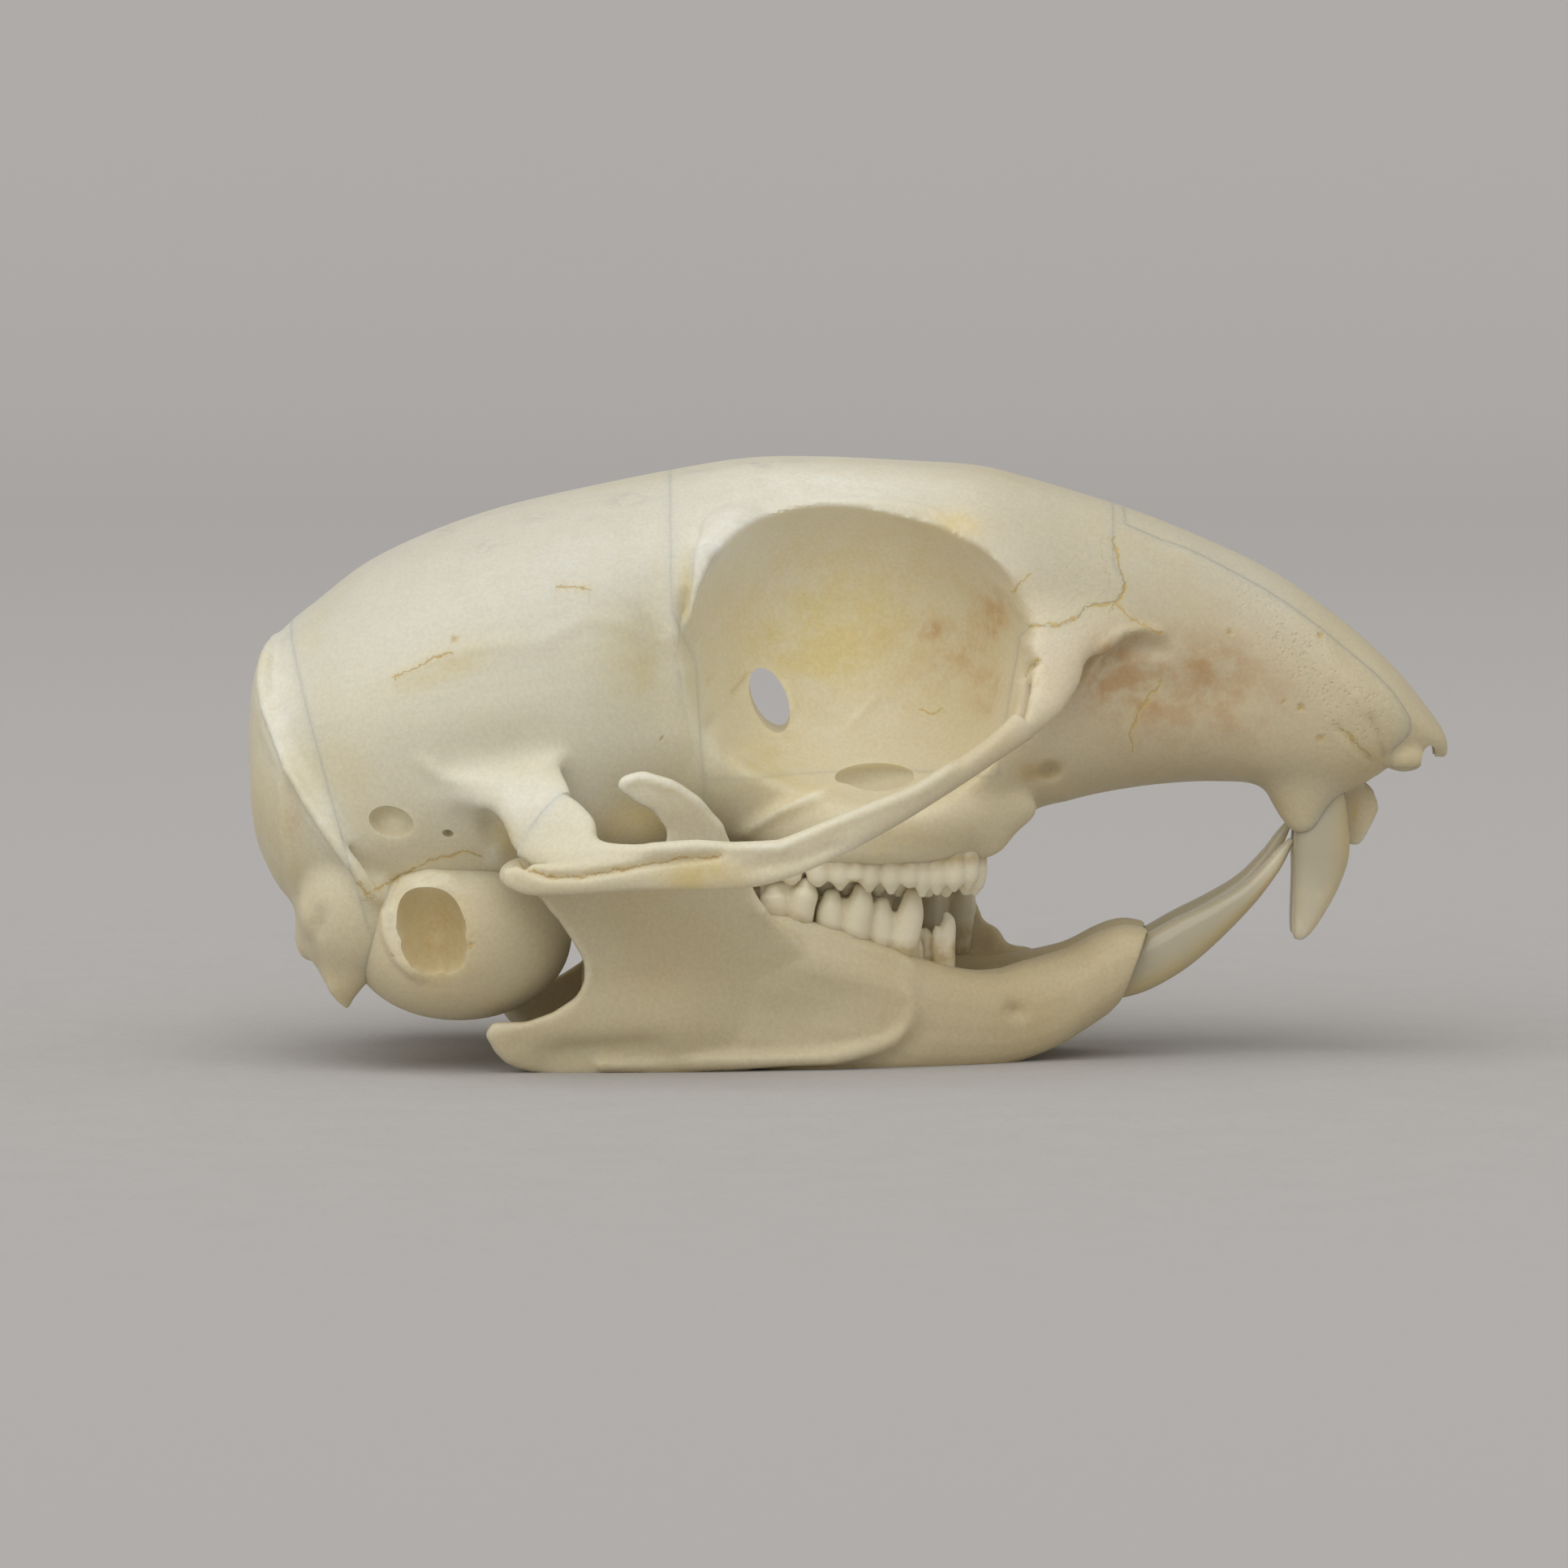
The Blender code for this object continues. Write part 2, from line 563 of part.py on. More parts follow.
def tube(name, places, side):
    """A tapered tube through places that each give x, y, z and radius."""
    return tapered_tube(name, [mirrored(place[:3], side) for place in places],
                        [place[3] for place in places])


def side_pieces(side):
    """What stands out of the cranium on one side."""
    pieces = [egg(side, *form) for form in SWELLINGS]
    pieces += [
        ribbon("arch_front_root", ARCH[:ARCH_ON_FACE], side),
        ribbon("arch_rear_root", REAR_ROOT[:REAR_ROOT_ON_BRAINCASE], side),
        tube("paroccipital_process", PAROCCIPITAL_PROCESS, side),
        tube("crest", [(*place, CREST_RADIUS) for place in NUCHAL_CREST], side),
        ribbon("postorbital_process", POSTORBITAL_SPINE, side),
        ribbon("pterygoid_plate", PTERYGOID_PLATE, side),
    ]
    return pieces


def side_cutters(side):
    """What is hollowed out of the cranium on one side."""
    orbit = ellipsoid("orbit", mirrored(ORBIT_CENTRE, side), ORBIT_RADII,
                      Matrix.Rotation(ORBIT_LEAN, 4, "Y"), 40, 28, ORBIT_POWER)
    return [orbit] + [egg(side, *form) for form in HOLLOWS]


def cranium_cutters():
    """Every hole and hollow of the cranium."""
    cutters = [cutter for side in SIDE_NAME for cutter in side_cutters(side)]
    x, z = OPTIC_HOLE
    cutters.append(ellipsoid("optic_hole", (x, 0, z), (OPTIC_RADII[0], OPTIC_REACH, OPTIC_RADII[1]),
                             Matrix.Rotation(OPTIC_LEAN, 4, "Y")))
    x, z = CORD_HOLE_CENTRE
    cutters.append(ellipsoid("cord_hole", (x, 0, z), CORD_HOLE_RADII))
    (x0, z0), (x1, z1) = NOSTRIL_BACK, NOSTRIL_FRONT
    slope = math.atan2(z1 - z0, x1 - x0)
    length = math.hypot(x1 - x0, z1 - z0)
    cutters.append(ellipsoid("nostril", ((x0 + x1) / 2, 0, (z0 + z1) / 2),
                             (length / 2, *NOSTRIL_RADIUS),
                             Matrix.Rotation(-slope, 4, "Y")))
    cutters.append(ellipsoid("inner_nares", *INNER_NARES))
    return cutters


def build_cranium():
    """The cranium as one bone, before it is parted at its seams."""
    pieces = [cranium_core()]
    for side in SIDE_NAME:
        pieces += side_pieces(side)
    pieces.append(ribbon("incisor_septum", INCISOR_SEPTUM, 1))
    cranium = fuse("cranium", pieces)
    boolean(cranium, cranium_cutters(), "DIFFERENCE")
    rounded(cranium, CRANIUM_TRIANGLES)
    trims = [trim for side in SIDE_NAME for trim in (
        root_block("front_trim", ARCH_FRONT_CUT, side, 1),
        root_block("rear_trim", REAR_ROOT_CUT, side, 1),
        bulla_body(side, GAP))]
    return boolean(cranium, trims, "DIFFERENCE")


def bulla_body(side, grow=0.0):
    """The egg of the ear capsule, `grow` larger all round."""
    radii = [radius + grow for radius in BULLA_RADII]
    return ellipsoid("bulla_body", mirrored(BULLA_CENTRE, side), radii,
                     Matrix.Rotation(-BULLA_YAW * side, 4, "Z"))


def build_bulla(side):
    x, y, z = mirrored(EAR_CENTRE, side)
    half_width, half_height = EAR_HOLE
    rim = ellipsoid("ear_rim", (x, y - EAR_RIM_BACK * side, z),
                    (half_width + EAR_RIM, EAR_RIM_REACH, half_height + EAR_RIM))
    rim = boolean(rim, [block("rim_face", (x, y, z), (0, side, 0), 9, 4)], "DIFFERENCE")
    bulla = fuse("ear_capsule_" + SIDE_NAME[side], [bulla_body(side), rim])
    hole = ellipsoid("ear_hole", (x, y, z), (half_width, EAR_DEPTH, half_height))
    boolean(bulla, [hole], "DIFFERENCE")
    return rounded(bulla, BULLA_TRIANGLES)


def build_arch(side):
    arch = fuse("cheek_arch_" + SIDE_NAME[side],
                [ribbon("jugal", ARCH[ARCH_FREE:], side),
                 ribbon("root_tongue", REAR_ROOT[REAR_ROOT_FREE:], side)])
    rounded(arch, ARCH_TRIANGLES)
    return boolean(arch, [root_block("front_trim", ARCH_FRONT_CUT, side, -1),
                          root_block("rear_trim", REAR_ROOT_CUT, side, -1)], "DIFFERENCE")


def spread_plate(plate, side):
    """Bends the flat jaw plate outwards along its height and its length."""
    for vert in plate.data.vertices:
        x, y, z = vert.co
        share = curve_value(JAW_SPREAD_ALONG, x)
        vert.co.y = (y + curve_value(JAW_SPREAD, z) * share) * side
    if side < 0:
        plate.data.flip_normals()


def remesh_only(obj, voxel):
    remesh = obj.modifiers.new("Remesh", "REMESH")
    remesh.mode = "VOXEL"
    remesh.voxel_size = voxel
    return apply_modifiers(obj)


def build_jaw(side):
    half = JAW_PLATE_THICKNESS / 2
    plate = remesh_only(prism("jaw_plate", JAW_PLATE, -half, half), VOXEL)
    spread_plate(plate, side)
    name = "lower_jaw_" + SIDE_NAME[side]
    jaw = fuse(name, [
        ribbon("jaw_body", JAW_BODY, side),
        plate,
        ellipsoid("condyle", mirrored(CONDYLE_CENTRE, side), CONDYLE_RADII),
        tapered_tube("muscle_ridge", [mirrored(p, side) for p in MUSCLE_RIDGE],
                     [MUSCLE_RIDGE_RADIUS] * len(MUSCLE_RIDGE), 8)])
    rounded(jaw, JAW_TRIANGLES)
    teeth = [tooth("molar", x, y * side, curve_value(jaw_top(), x), LOWER_TIP_Z, length, width)
             for x, length, width, y in LOWER_TEETH]
    teeth.append(tapered_tube("premolar_stub", [mirrored(p, side) for p in PREMOLAR_STUB],
                              [0.5, 0.3], 6))
    fuse(name, [jaw] + teeth)
    boolean(jaw, [incisor("socket", LOWER_INCISOR, lower_incisor_y, side, SOCKET_SLACK),
                  bulla_body(side, GAP),
                  block("symphysis", (9, GAP / 2 * side, 3), (0, -side, 0), 30, 4),
                  block("floor", (0, 0, 0), (0, 0, -1), 80, 5)], "DIFFERENCE")
    return keep_largest(jaw)


def jaw_top():
    """The upper edge of the jaw's body as a table of x and z."""
    return [(upper[0], upper[2]) for upper, lower, thick in JAW_BODY]


def tooth(name, x, y, neck, tip, length, width):
    """A cheek tooth with a cusp at each corner, from its root to its tip."""
    sign = 1 if tip > neck else -1
    shoulder = tip - sign * CUSP
    levels = [(neck - sign * TOOTH_ROOT, 0.55, 0), (neck, 0.8, 0),
              ((neck + shoulder) / 2 + sign * 0.1, 1.0, 0),
              (shoulder, 0.84, CUSP), (shoulder + sign * 0.05, 0.36, 0)]
    rings = []
    for level, scale, cusp in levels:
        ring = []
        for k in range(TOOTH_SIDES):
            angle = 2 * math.pi * k / TOOTH_SIDES
            corner = 0.5 - 0.5 * math.cos(4 * angle)
            reach = scale * (1 + 0.16 * corner) / 2
            ring.append((x + math.cos(angle) * length * reach,
                         y + math.sin(angle) * width * reach,
                         level + sign * cusp * corner))
        rings.append(ring)
    return skin_rings(name, rings)


def lower_incisor_y(share):
    return LOWER_INCISOR_Y[0] + (LOWER_INCISOR_Y[1] - LOWER_INCISOR_Y[0]) * share


def upper_incisor_y(share):
    return UPPER_INCISOR_Y


def incisor(name, rows, place_y, side, grow=0.0):
    """A curved front tooth along its centre line, `grow` larger all round."""
    rows = smooth_rows(rows, 2)
    along = np.gradient(rows[:, 0:2], axis=0)
    lift = LEFT_TIP_LIFT if side == LEFT and rows[0][1] < rows[-1][1] else 0
    rings = []
    for i, (x, z, depth, width) in enumerate(rows):
        share = i / (len(rows) - 1)
        run = Vector((along[i][0], along[i][1])).normalized()
        z += lift * share ** 2
        y = place_y(share) * side
        ring = []
        for across, up in superellipse(INCISOR_SIDES, 2.6, 2.6):
            reach = up * (depth + grow)
            ring.append((x - run.y * reach, y + across * (width + grow), z + run.x * reach))
        rings.append(ring)
    return skin_rings(name, rings)


def region(name, outline):
    return prism(name, outline, -20, 20)


def part_cranium(cranium):
    """Cuts the cranium into its named bones, GAP apart."""
    half = GAP / 2
    (x0, z0), (x1, z1) = OCCIPUT_SEAM
    low, split = FRONT_SEAM[:2]
    back = crop(cranium, "occiput", region("behind", [
        (x0 - half, 30), (x0 - half, z0), (x1 - half, z1), (x1 - half, -5), (-30, -5), (-30, 30)]))
    braincase = crop(cranium, "braincase", region("middle", [
        (x0 + half, 30), (x0 + half, z0), (x1 + half, z1), (x1 + half, -5)]
        + [(x - half, z) for x, z in FRONT_SEAM]))
    forehead = crop(cranium, "forehead", region("above", [
        (x + half, z) for x, z in reversed(FRONT_SEAM[2:])] + [(split[0] + half, split[1] + half)]
        + [(x - half, z + half) for x, z in FACE_SEAM]))
    face = crop(cranium, "upper_jaw", region("below", [
        (low[0] + half, low[1]), (split[0] + half, split[1] - half)]
        + [(x + half, z - half) for x, z in FACE_SEAM] + [(40, 30), (40, -5)]))
    return back, braincase, forehead, face


def nose_outline(shift):
    """Side view of the nose bones, drawn back by `shift` from what they touch."""
    xs = np.linspace(NOSE_SEAM_BACK + shift, NOSE_HOOD_X + shift, 8)
    tops = [(row[0], row[1]) for row in CORE]
    under = [(float(x), curve_value(tops, x) - NOSE_SEAM_DEPTH + shift) for x in xs]
    return under + [(NOSE_HOOD_X + shift, NOSE_HOOD_Z + shift), (24, NOSE_HOOD_Z + shift),
                    (24, 30), (NOSE_SEAM_BACK + shift, 30)]


def part_nose(face):
    """Lifts the two nose bones out of the upper jaw."""
    half = GAP / 2
    bones = []
    for side in SIDE_NAME:
        low, high = sorted((half * side, (NOSE_HALF_WIDTH - half) * side))
        bones.append(crop(face, "nasal_bone_" + SIDE_NAME[side],
                          prism("nose_region", nose_outline(half), low, high)))
    wide = NOSE_HALF_WIDTH + half
    boolean(face, [prism("nose_room", nose_outline(-half), -wide, wide)], "DIFFERENCE")
    return [face] + bones


def finish(obj, colour, roughness):
    """Scales a bone to metres, gives it its material and shades it smooth."""
    keep_largest(obj)
    bm = bmesh.new()
    bm.from_mesh(obj.data)
    bmesh.ops.triangulate(bm, faces=bm.faces[:])
    bm.to_mesh(obj.data)
    bm.free()
    obj.data.transform(Matrix.Scale(MM, 4))
    material = bpy.data.materials.new(obj.name + "_surface")
    material.use_nodes = True
    shader = material.node_tree.nodes["Principled BSDF"]
    shader.inputs["Base Color"].default_value = (*colour, 1)
    shader.inputs["Roughness"].default_value = roughness
    obj.data.materials.clear()
    obj.data.materials.append(material)
    obj.data.shade_smooth()
    obj.data.set_sharp_from_angle(angle=math.radians(45))


def main():
    for obj in list(bpy.data.objects):
        bpy.data.objects.remove(obj)
    cranium = build_cranium()
    back, braincase, forehead, face = part_cranium(cranium)
    bpy.data.objects.remove(cranium)
    for side in SIDE_NAME:
        boolean(face, [incisor("socket", UPPER_INCISOR, upper_incisor_y, side, SOCKET_SLACK)],
                "DIFFERENCE")
    keep_largest(face)
    fuse("upper_jaw", [face] + [
        tooth("molar", x, y * side, UPPER_NECK_Z, UPPER_TIP_Z, length, width)
        for side in SIDE_NAME for x, length, width, y in UPPER_TEETH])
    bones = [back, braincase, forehead] + part_nose(face)
    for side, name in SIDE_NAME.items():
        bones += [build_bulla(side), build_arch(side), build_jaw(side)]
        for tooth_name, rows, place in (("upper_incisor_", UPPER_INCISOR, upper_incisor_y),
                                        ("lower_incisor_", LOWER_INCISOR, lower_incisor_y)):
            bones.append(incisor(tooth_name + name, rows, place, side))
            bones[-1].name = tooth_name + name
    home = bpy.data.collections.new("ground_squirrel_skull")
    bpy.context.scene.collection.children.link(home)
    for bone in bones:
        is_incisor = "incisor" in bone.name
        finish(bone, (0.62, 0.52, 0.33) if is_incisor else (0.74, 0.68, 0.52),
               0.25 if is_incisor else 0.5)
        bpy.context.scene.collection.objects.unlink(bone)
        home.objects.link(bone)


main()
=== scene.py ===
"""Looks of a ground squirrel skull that rests on its two lower jaws.

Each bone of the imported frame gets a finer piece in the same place: the bones
are fused from closed forms, melted together, carved and parted again. Shapes
are worked out in millimetres, in the frame's axes, and scaled to metres at
the end. Places that were measured on the picture are in its own pixels and
lie on the animal's right side; the left side is its mirror image.
"""

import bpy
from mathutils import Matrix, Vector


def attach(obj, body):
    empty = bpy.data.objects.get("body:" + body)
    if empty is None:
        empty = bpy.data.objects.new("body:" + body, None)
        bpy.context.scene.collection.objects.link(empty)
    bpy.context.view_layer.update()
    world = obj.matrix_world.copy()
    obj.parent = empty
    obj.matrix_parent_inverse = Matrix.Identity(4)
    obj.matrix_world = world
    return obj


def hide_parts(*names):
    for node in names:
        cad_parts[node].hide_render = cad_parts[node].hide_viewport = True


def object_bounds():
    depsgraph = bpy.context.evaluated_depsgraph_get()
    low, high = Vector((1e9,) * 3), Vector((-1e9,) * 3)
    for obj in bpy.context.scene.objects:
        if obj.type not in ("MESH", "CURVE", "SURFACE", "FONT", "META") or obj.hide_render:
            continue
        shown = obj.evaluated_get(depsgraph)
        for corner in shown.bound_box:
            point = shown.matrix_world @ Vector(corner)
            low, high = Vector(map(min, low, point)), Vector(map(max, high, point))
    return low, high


bl_info = {
    "name": "Ground squirrel skull",
    "version": (1, 0, 0),
    "blender": (4, 5, 0),
    "location": "3D View > Sidebar > Skull",
    "description": "Fine bones, teeth and studio round the packed skull",
    "category": "Object",
}

import math

import bmesh
import bpy
import numpy as np
from bpy.props import FloatProperty, FloatVectorProperty, IntProperty, PointerProperty
from mathutils import Matrix, Vector

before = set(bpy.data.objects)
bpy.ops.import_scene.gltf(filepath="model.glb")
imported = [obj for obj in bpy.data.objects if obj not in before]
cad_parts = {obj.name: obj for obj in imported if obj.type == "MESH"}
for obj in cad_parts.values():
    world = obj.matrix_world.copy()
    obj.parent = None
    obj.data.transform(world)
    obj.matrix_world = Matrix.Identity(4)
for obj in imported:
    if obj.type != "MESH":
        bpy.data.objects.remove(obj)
CAD_BOX = [list(corner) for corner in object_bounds()]

MM = 0.001
RIGHT, LEFT = -1, 1
SIDE_NAME = {RIGHT: "right", LEFT: "left"}
BODY = "root"

# Camera, and the scale of the picture in the plane through the midline
PICTURE = 1932               # pixels along each side
PICTURE_SCALE = 0.02838      # millimetres to a pixel
CAMERA_DISTANCE = 400.0
CAMERA_RISE = math.radians(4)
CAMERA_AIM = (-2.242, 0.0, 9.475)
SENSOR = 36.0

# Length of the skull, from the frame
SKULL_LENGTH = (CAD_BOX[1][0] - CAD_BOX[0][0]) / MM
NOSE_X = SKULL_LENGTH / 2
BACK_X = -SKULL_LENGTH / 2

# The core of the cranium: x, top, bottom, half width, height of the widest
# level, roundness of the upper and of the lower half (2 is an ellipse)
CORE = [
    (BACK_X + 0.03, 11.9, 10.2, 1.6, 11.1, 2.0, 2.0),
    (-20.7, 13.3, 7.9, 4.4, 11.0, 2.1, 2.1),
    (-20.3, 14.15, 6.7, 5.6, 10.8, 2.2, 2.2),
    (-19.6, 15.05, 5.6, 6.7, 10.3, 2.2, 2.4),
    (-18.5, 15.95, 4.9, 7.6, 9.9, 2.2, 2.5),
    (-16.8, 17.25, 4.7, 8.3, 10.4, 2.2, 2.6),
    (-14.5, 18.35, 4.7, 8.75, 11.4, 2.2, 2.6),
    (-12.0, 19.2, 4.9, 8.9, 12.0, 2.2, 2.5),
    (-9.0, 19.9, 5.6, 8.6, 12.4, 2.2, 2.4),
    (-6.0, 20.5, 7.0, 7.6, 12.7, 2.3, 2.6),
    (-3.5, 20.88, 7.3, 6.7, 12.9, 2.6, 3.2),
    (-1.0, 20.92, 7.2, 6.1, 13.0, 2.9, 3.8),
    (2.0, 20.78, 7.15, 5.85, 13.0, 3.0, 4.0),
    (4.5, 20.62, 7.3, 5.6, 13.1, 2.9, 3.8),
    (6.2, 20.22, 8.5, 5.3, 13.2, 2.6, 3.2),
    (8.0, 19.7, 9.15, 4.75, 13.2, 2.4, 3.0),
    (10.0, 19.06, 9.5, 4.2, 13.2, 2.4, 2.8),
    (12.0, 18.28, 9.65, 3.8, 13.0, 2.3, 2.7),
    (14.0, 17.38, 9.55, 3.5, 12.6, 2.2, 2.6),
    (15.5, 16.52, 9.2, 3.3, 12.2, 2.2, 2.5),
    (17.0, 15.42, 9.1, 3.05, 11.9, 2.2, 2.4),
    (18.2, 14.42, 9.6, 2.75, 11.9, 2.2, 2.4),
    (19.2, 13.45, 10.1, 2.35, 11.8, 2.1, 2.2),
    (20.1, 12.35, 10.35, 1.85, 11.4, 2.0, 2.0),
    (20.75, 11.45, 10.4, 1.2, 10.95, 2.0, 2.0),
    (NOSE_X - 0.02, 10.9, 10.45, 0.5, 10.7, 2.0, 2.0),
]

# Round forms that stand out of the cranium on each side:
# name, centre, radii, turn about the cross axis in degrees
SWELLINGS = [
    ("mastoid", (-17.0, 6.2, 5.5), (1.9, 1.85, 2.3), 0),
    ("condyle", (-18.25, 2.9, 4.75), (1.0, 1.0, 1.6), 25),
    ("exoccipital", (-17.5, 4.4, 5.0), (1.55, 2.5, 2.35), 0),
    ("exoccipital_flange", (-17.3, 5.3, 4.0), (1.0, 1.2, 1.35), 0),
    ("tear_knob", (6.15, 5.85, 14.15), (0.5, 0.6, 0.95), 0),
    ("muscle_tubercle", (5.9, 4.6, 8.85), (0.82, 0.6, 0.72), 0),
    ("cheek_front", (4.2, 4.65, 8.5), (1.7, 1.0, 1.3), 12),
    ("tooth_capsule", (0.6, 4.9, 8.45), (4.6, 1.75, 1.5), 0),
    ("postglenoid_lump", (-12.0, 8.95, 7.75), (0.5, 0.6, 0.52), 0),
    ("incisor_sheath", (15.9, 1.2, 9.6), (1.35, 1.15, 1.9), -8),
    ("nose_lobe", (19.35, 1.7, 10.5), (0.75, 0.45, 0.5), 0),
    ("incisor_lobe", (15.75, 1.6, 8.75), (0.75, 0.5, 1.0), -12),
]

# Holes and hollows on each side, in the same form
HOLLOWS = [
    ("infraorbital_hole", (7.0, 4.95, 10.2), (0.55, 1.1, 0.42), 0),
    ("muscle_hollow", (11.3, 5.6, 13.0), (3.3, 1.85, 1.75), 12),
    ("jaw_socket", (-10.8, 9.3, 6.9), (2.0, 1.9, 1.4), 0),
    ("incisor_notch", (17.15, 2.25, 8.35), (0.85, 1.05, 1.3), 20),
]

# Clean holes through thin bone, cut after the bone is melted together
HOLES = [
    ("temporal_hole", (-15.7, 8.4, 8.75), (0.8, 1.0, 0.55), 14),
    ("temporal_pinhole", (-13.75, 8.7, 8.35), (0.24, 0.8, 0.16), 12),
    ("rim_notch", (3.95, 5.6, 18.75), (0.75, 0.9, 0.3), 18),
    ("palatine_hole", (0.9, 3.2, 9.95), (1.42, 1.6, 0.55), -4),
    ("mastoid_slot", (-15.95, 7.9, 5.0), (0.12, 1.2, 0.4), 12),
]

# Orbit: the bowl that each eye sat in
ORBIT_CENTRE = (0.45, 8.9, 14.35)
ORBIT_RADII = (5.9, 8.55, 5.2)
ORBIT_POWER = 2.6
ORBIT_LEAN = 14.0
OPTIC_HOLE = ((-2.75, 0.0, 12.5), (0.62, 9.0, 1.2), -22)
CORD_HOLE = ((-17.2, 0.0, 6.6), (4.9, 2.5, 2.15), 0)
INNER_NARES = ((-4.4, 0.0, 6.7), (3.4, 1.35, 1.5), 0)
NOSTRIL_BACK = (14.2, 12.7)
NOSTRIL_FRONT = (20.6, 10.0)
NOSTRIL_RADIUS = (1.55, 1.5)
NOSE_NOTCH = ((20.2, 0.0, 10.45), (0.27, 6.0, 0.5), 12)

POSTORBITAL_SPINE = [
    ((-2.2, 3.9, 19.2), (-4.9, 4.2, 18.9), 1.2),
    ((-3.1, 5.6, 18.9), (-5.1, 5.8, 18.6), 1.0),
    ((-4.3, 7.0, 18.1), (-5.35, 7.1, 17.9), 0.62),
    ((-5.0, 7.75, 17.0), (-5.5, 7.8, 16.9), 0.45),
    ((-5.35, 8.1, 15.7), (-5.6, 8.1, 15.65), 0.26),
]
PAROCCIPITAL_PROCESS = [
    (-16.9, 6.0, 5.2, 1.3), (-17.2, 6.2, 3.6, 0.9),
    (-17.4, 6.05, 2.75, 0.55), (-17.35, 5.9, 2.2, 0.25),
]
NUCHAL_CREST = [
    (-19.95, 0.0, 14.5), (-20.05, 2.0, 14.35), (-20.15, 3.7, 13.95),
    (-20.15, 5.0, 13.2), (-19.9, 6.0, 12.2), (-19.4, 6.95, 11.0),
    (-18.8, 7.6, 9.9), (-18.1, 8.0, 8.8), (-17.4, 8.2, 7.85),
    (-16.7, 8.3, 6.9), (-16.2, 8.1, 6.1),
]
CREST_RADIUS = 0.26
PTERYGOID_PLATE = [
    ((-2.4, 2.0, 9.2), (-2.4, 2.0, 7.0), 0.8),
    ((-4.5, 1.9, 9.4), (-4.5, 1.95, 6.0), 0.6),
    ((-6.5, 1.9, 8.6), (-6.7, 2.0, 5.2), 0.6),
    ((-8.2, 2.0, 7.0), (-8.4, 2.1, 4.2), 0.6),
    ((-8.7, 2.1, 5.1), (-9.1, 2.15, 2.5), 0.75),
    ((-9.25, 2.15, 3.9), (-9.3, 2.2, 2.3), 0.6),
]
INCISOR_SEPTUM = [
    ((15.0, 0.0, 10.6), (15.6, 0.0, 8.4), 1.0),
    ((16.8, 0.0, 10.2), (16.6, 0.0, 8.0), 0.7),
    ((18.2, 0.0, 9.5), (17.6, 0.0, 7.3), 0.6),
    ((18.6, 0.0, 8.65), (18.0, 0.0, 7.45), 0.5),
]

# Ear capsule
BULLA = ((-13.45, 5.35, 4.68), (3.9, 3.2, 3.0))
BULLA_POWER = 2.06
BULLA_YAW = math.radians(14)
EAR_CENTRE = (-14.3, 8.35, 5.0)
EAR_HOLE = (1.18, 1.5)
EAR_RIM = 0.42
EAR_DEPTH = 2.7
EAR_SLANT = 0.14             # lean of the opening, its foot further forward
EAR_RAGGED = 0.1            # how far the broken edge wanders

# Cheek arch. Each station is the upper edge, the lower edge and the thickness.
ARCH = [
    ((6.1, 5.0, 15.9), (10.9, 3.3, 15.35), 0.9),
    ((6.15, 5.6, 15.1), (9.7, 4.55, 14.9), 0.75),
    ((5.95, 6.5, 13.8), (8.45, 5.5, 14.05), 0.7),
    ((6.05, 7.1, 13.0), (7.75, 6.4, 12.75), 0.7),
    ((5.45, 8.1, 12.3), (6.6, 7.6, 11.8), 0.75),
    ((4.25, 9.4, 11.3), (4.35, 9.2, 10.5), 0.8),
    ((2.25, 10.9, 10.15), (2.25, 10.9, 9.25), 0.85),
    ((1.1, 11.6, 9.68), (1.1, 11.65, 8.6), 0.85),
    ((-0.45, 12.15, 9.12), (-0.45, 12.3, 7.8), 0.8),
    ((-2.2, 12.5, 8.5), (-2.2, 12.7, 7.1), 0.75),
    ((-4.05, 12.7, 8.33), (-4.05, 12.95, 6.78), 0.7),
    ((-7.4, 12.75, 8.1), (-7.4, 13.0, 6.75), 0.7),
    ((-9.3, 12.6, 7.75), (-9.3, 12.75, 6.6), 0.7),
    ((-10.9, 12.25, 7.6), (-10.9, 12.3, 6.55), 0.65),
    ((-11.7, 12.0, 7.45), (-11.7, 12.0, 6.85), 0.5),
]
ARCH_ON_FACE = 7
ARCH_FREE = 2
ARCH_FRONT_CUT = ((5.9, 7.95, 12.0), (-0.55, 0.65, -0.52))
REAR_ROOT = [
    ((-13.9, 7.6, 10.2), (-13.3, 7.9, 9.4), 1.6),
    ((-13.4, 8.6, 10.2), (-13.1, 8.8, 9.3), 1.3),
    ((-11.6, 9.4, 10.4), (-12.15, 9.7, 8.85), 1.1),
    ((-9.75, 10.3, 9.9), (-11.35, 10.8, 7.75), 0.95),
    ((-8.75, 11.2, 9.15), (-10.45, 11.75, 7.35), 0.9),
    ((-8.45, 12.1, 8.4), (-9.5, 12.3, 7.4), 0.85),
    ((-7.1, 12.65, 8.3), (-7.45, 12.75, 7.55), 0.8),
    ((-5.45, 12.75, 8.34), (-5.45, 12.85, 7.8), 0.7),
    ((-4.25, 12.7, 8.3), (-4.25, 12.75, 8.0), 0.5),
]
ROOT_FAN = [
    ((-14.5, 8.0, 10.75), (-13.9, 8.3, 9.9), 0.6),
    ((-13.4, 8.4, 10.3), (-12.9, 9.1, 9.3), 0.8),
    ((-12.0, 8.6, 10.3), (-11.4, 10.1, 9.3), 0.8),
    ((-10.9, 8.6, 10.6), (-10.1, 10.8, 9.5), 0.7),
    ((-10.0, 8.4, 11.0), (-9.2, 10.6, 9.9), 0.5),
]
REAR_ROOT_ON_BRAINCASE = 6
REAR_ROOT_FREE = 2
REAR_ROOT_CUT = ((-10.4, 10.6, 8.8), (0.62, 0.72, -0.3))
ROOT_CUTTER = 5.2

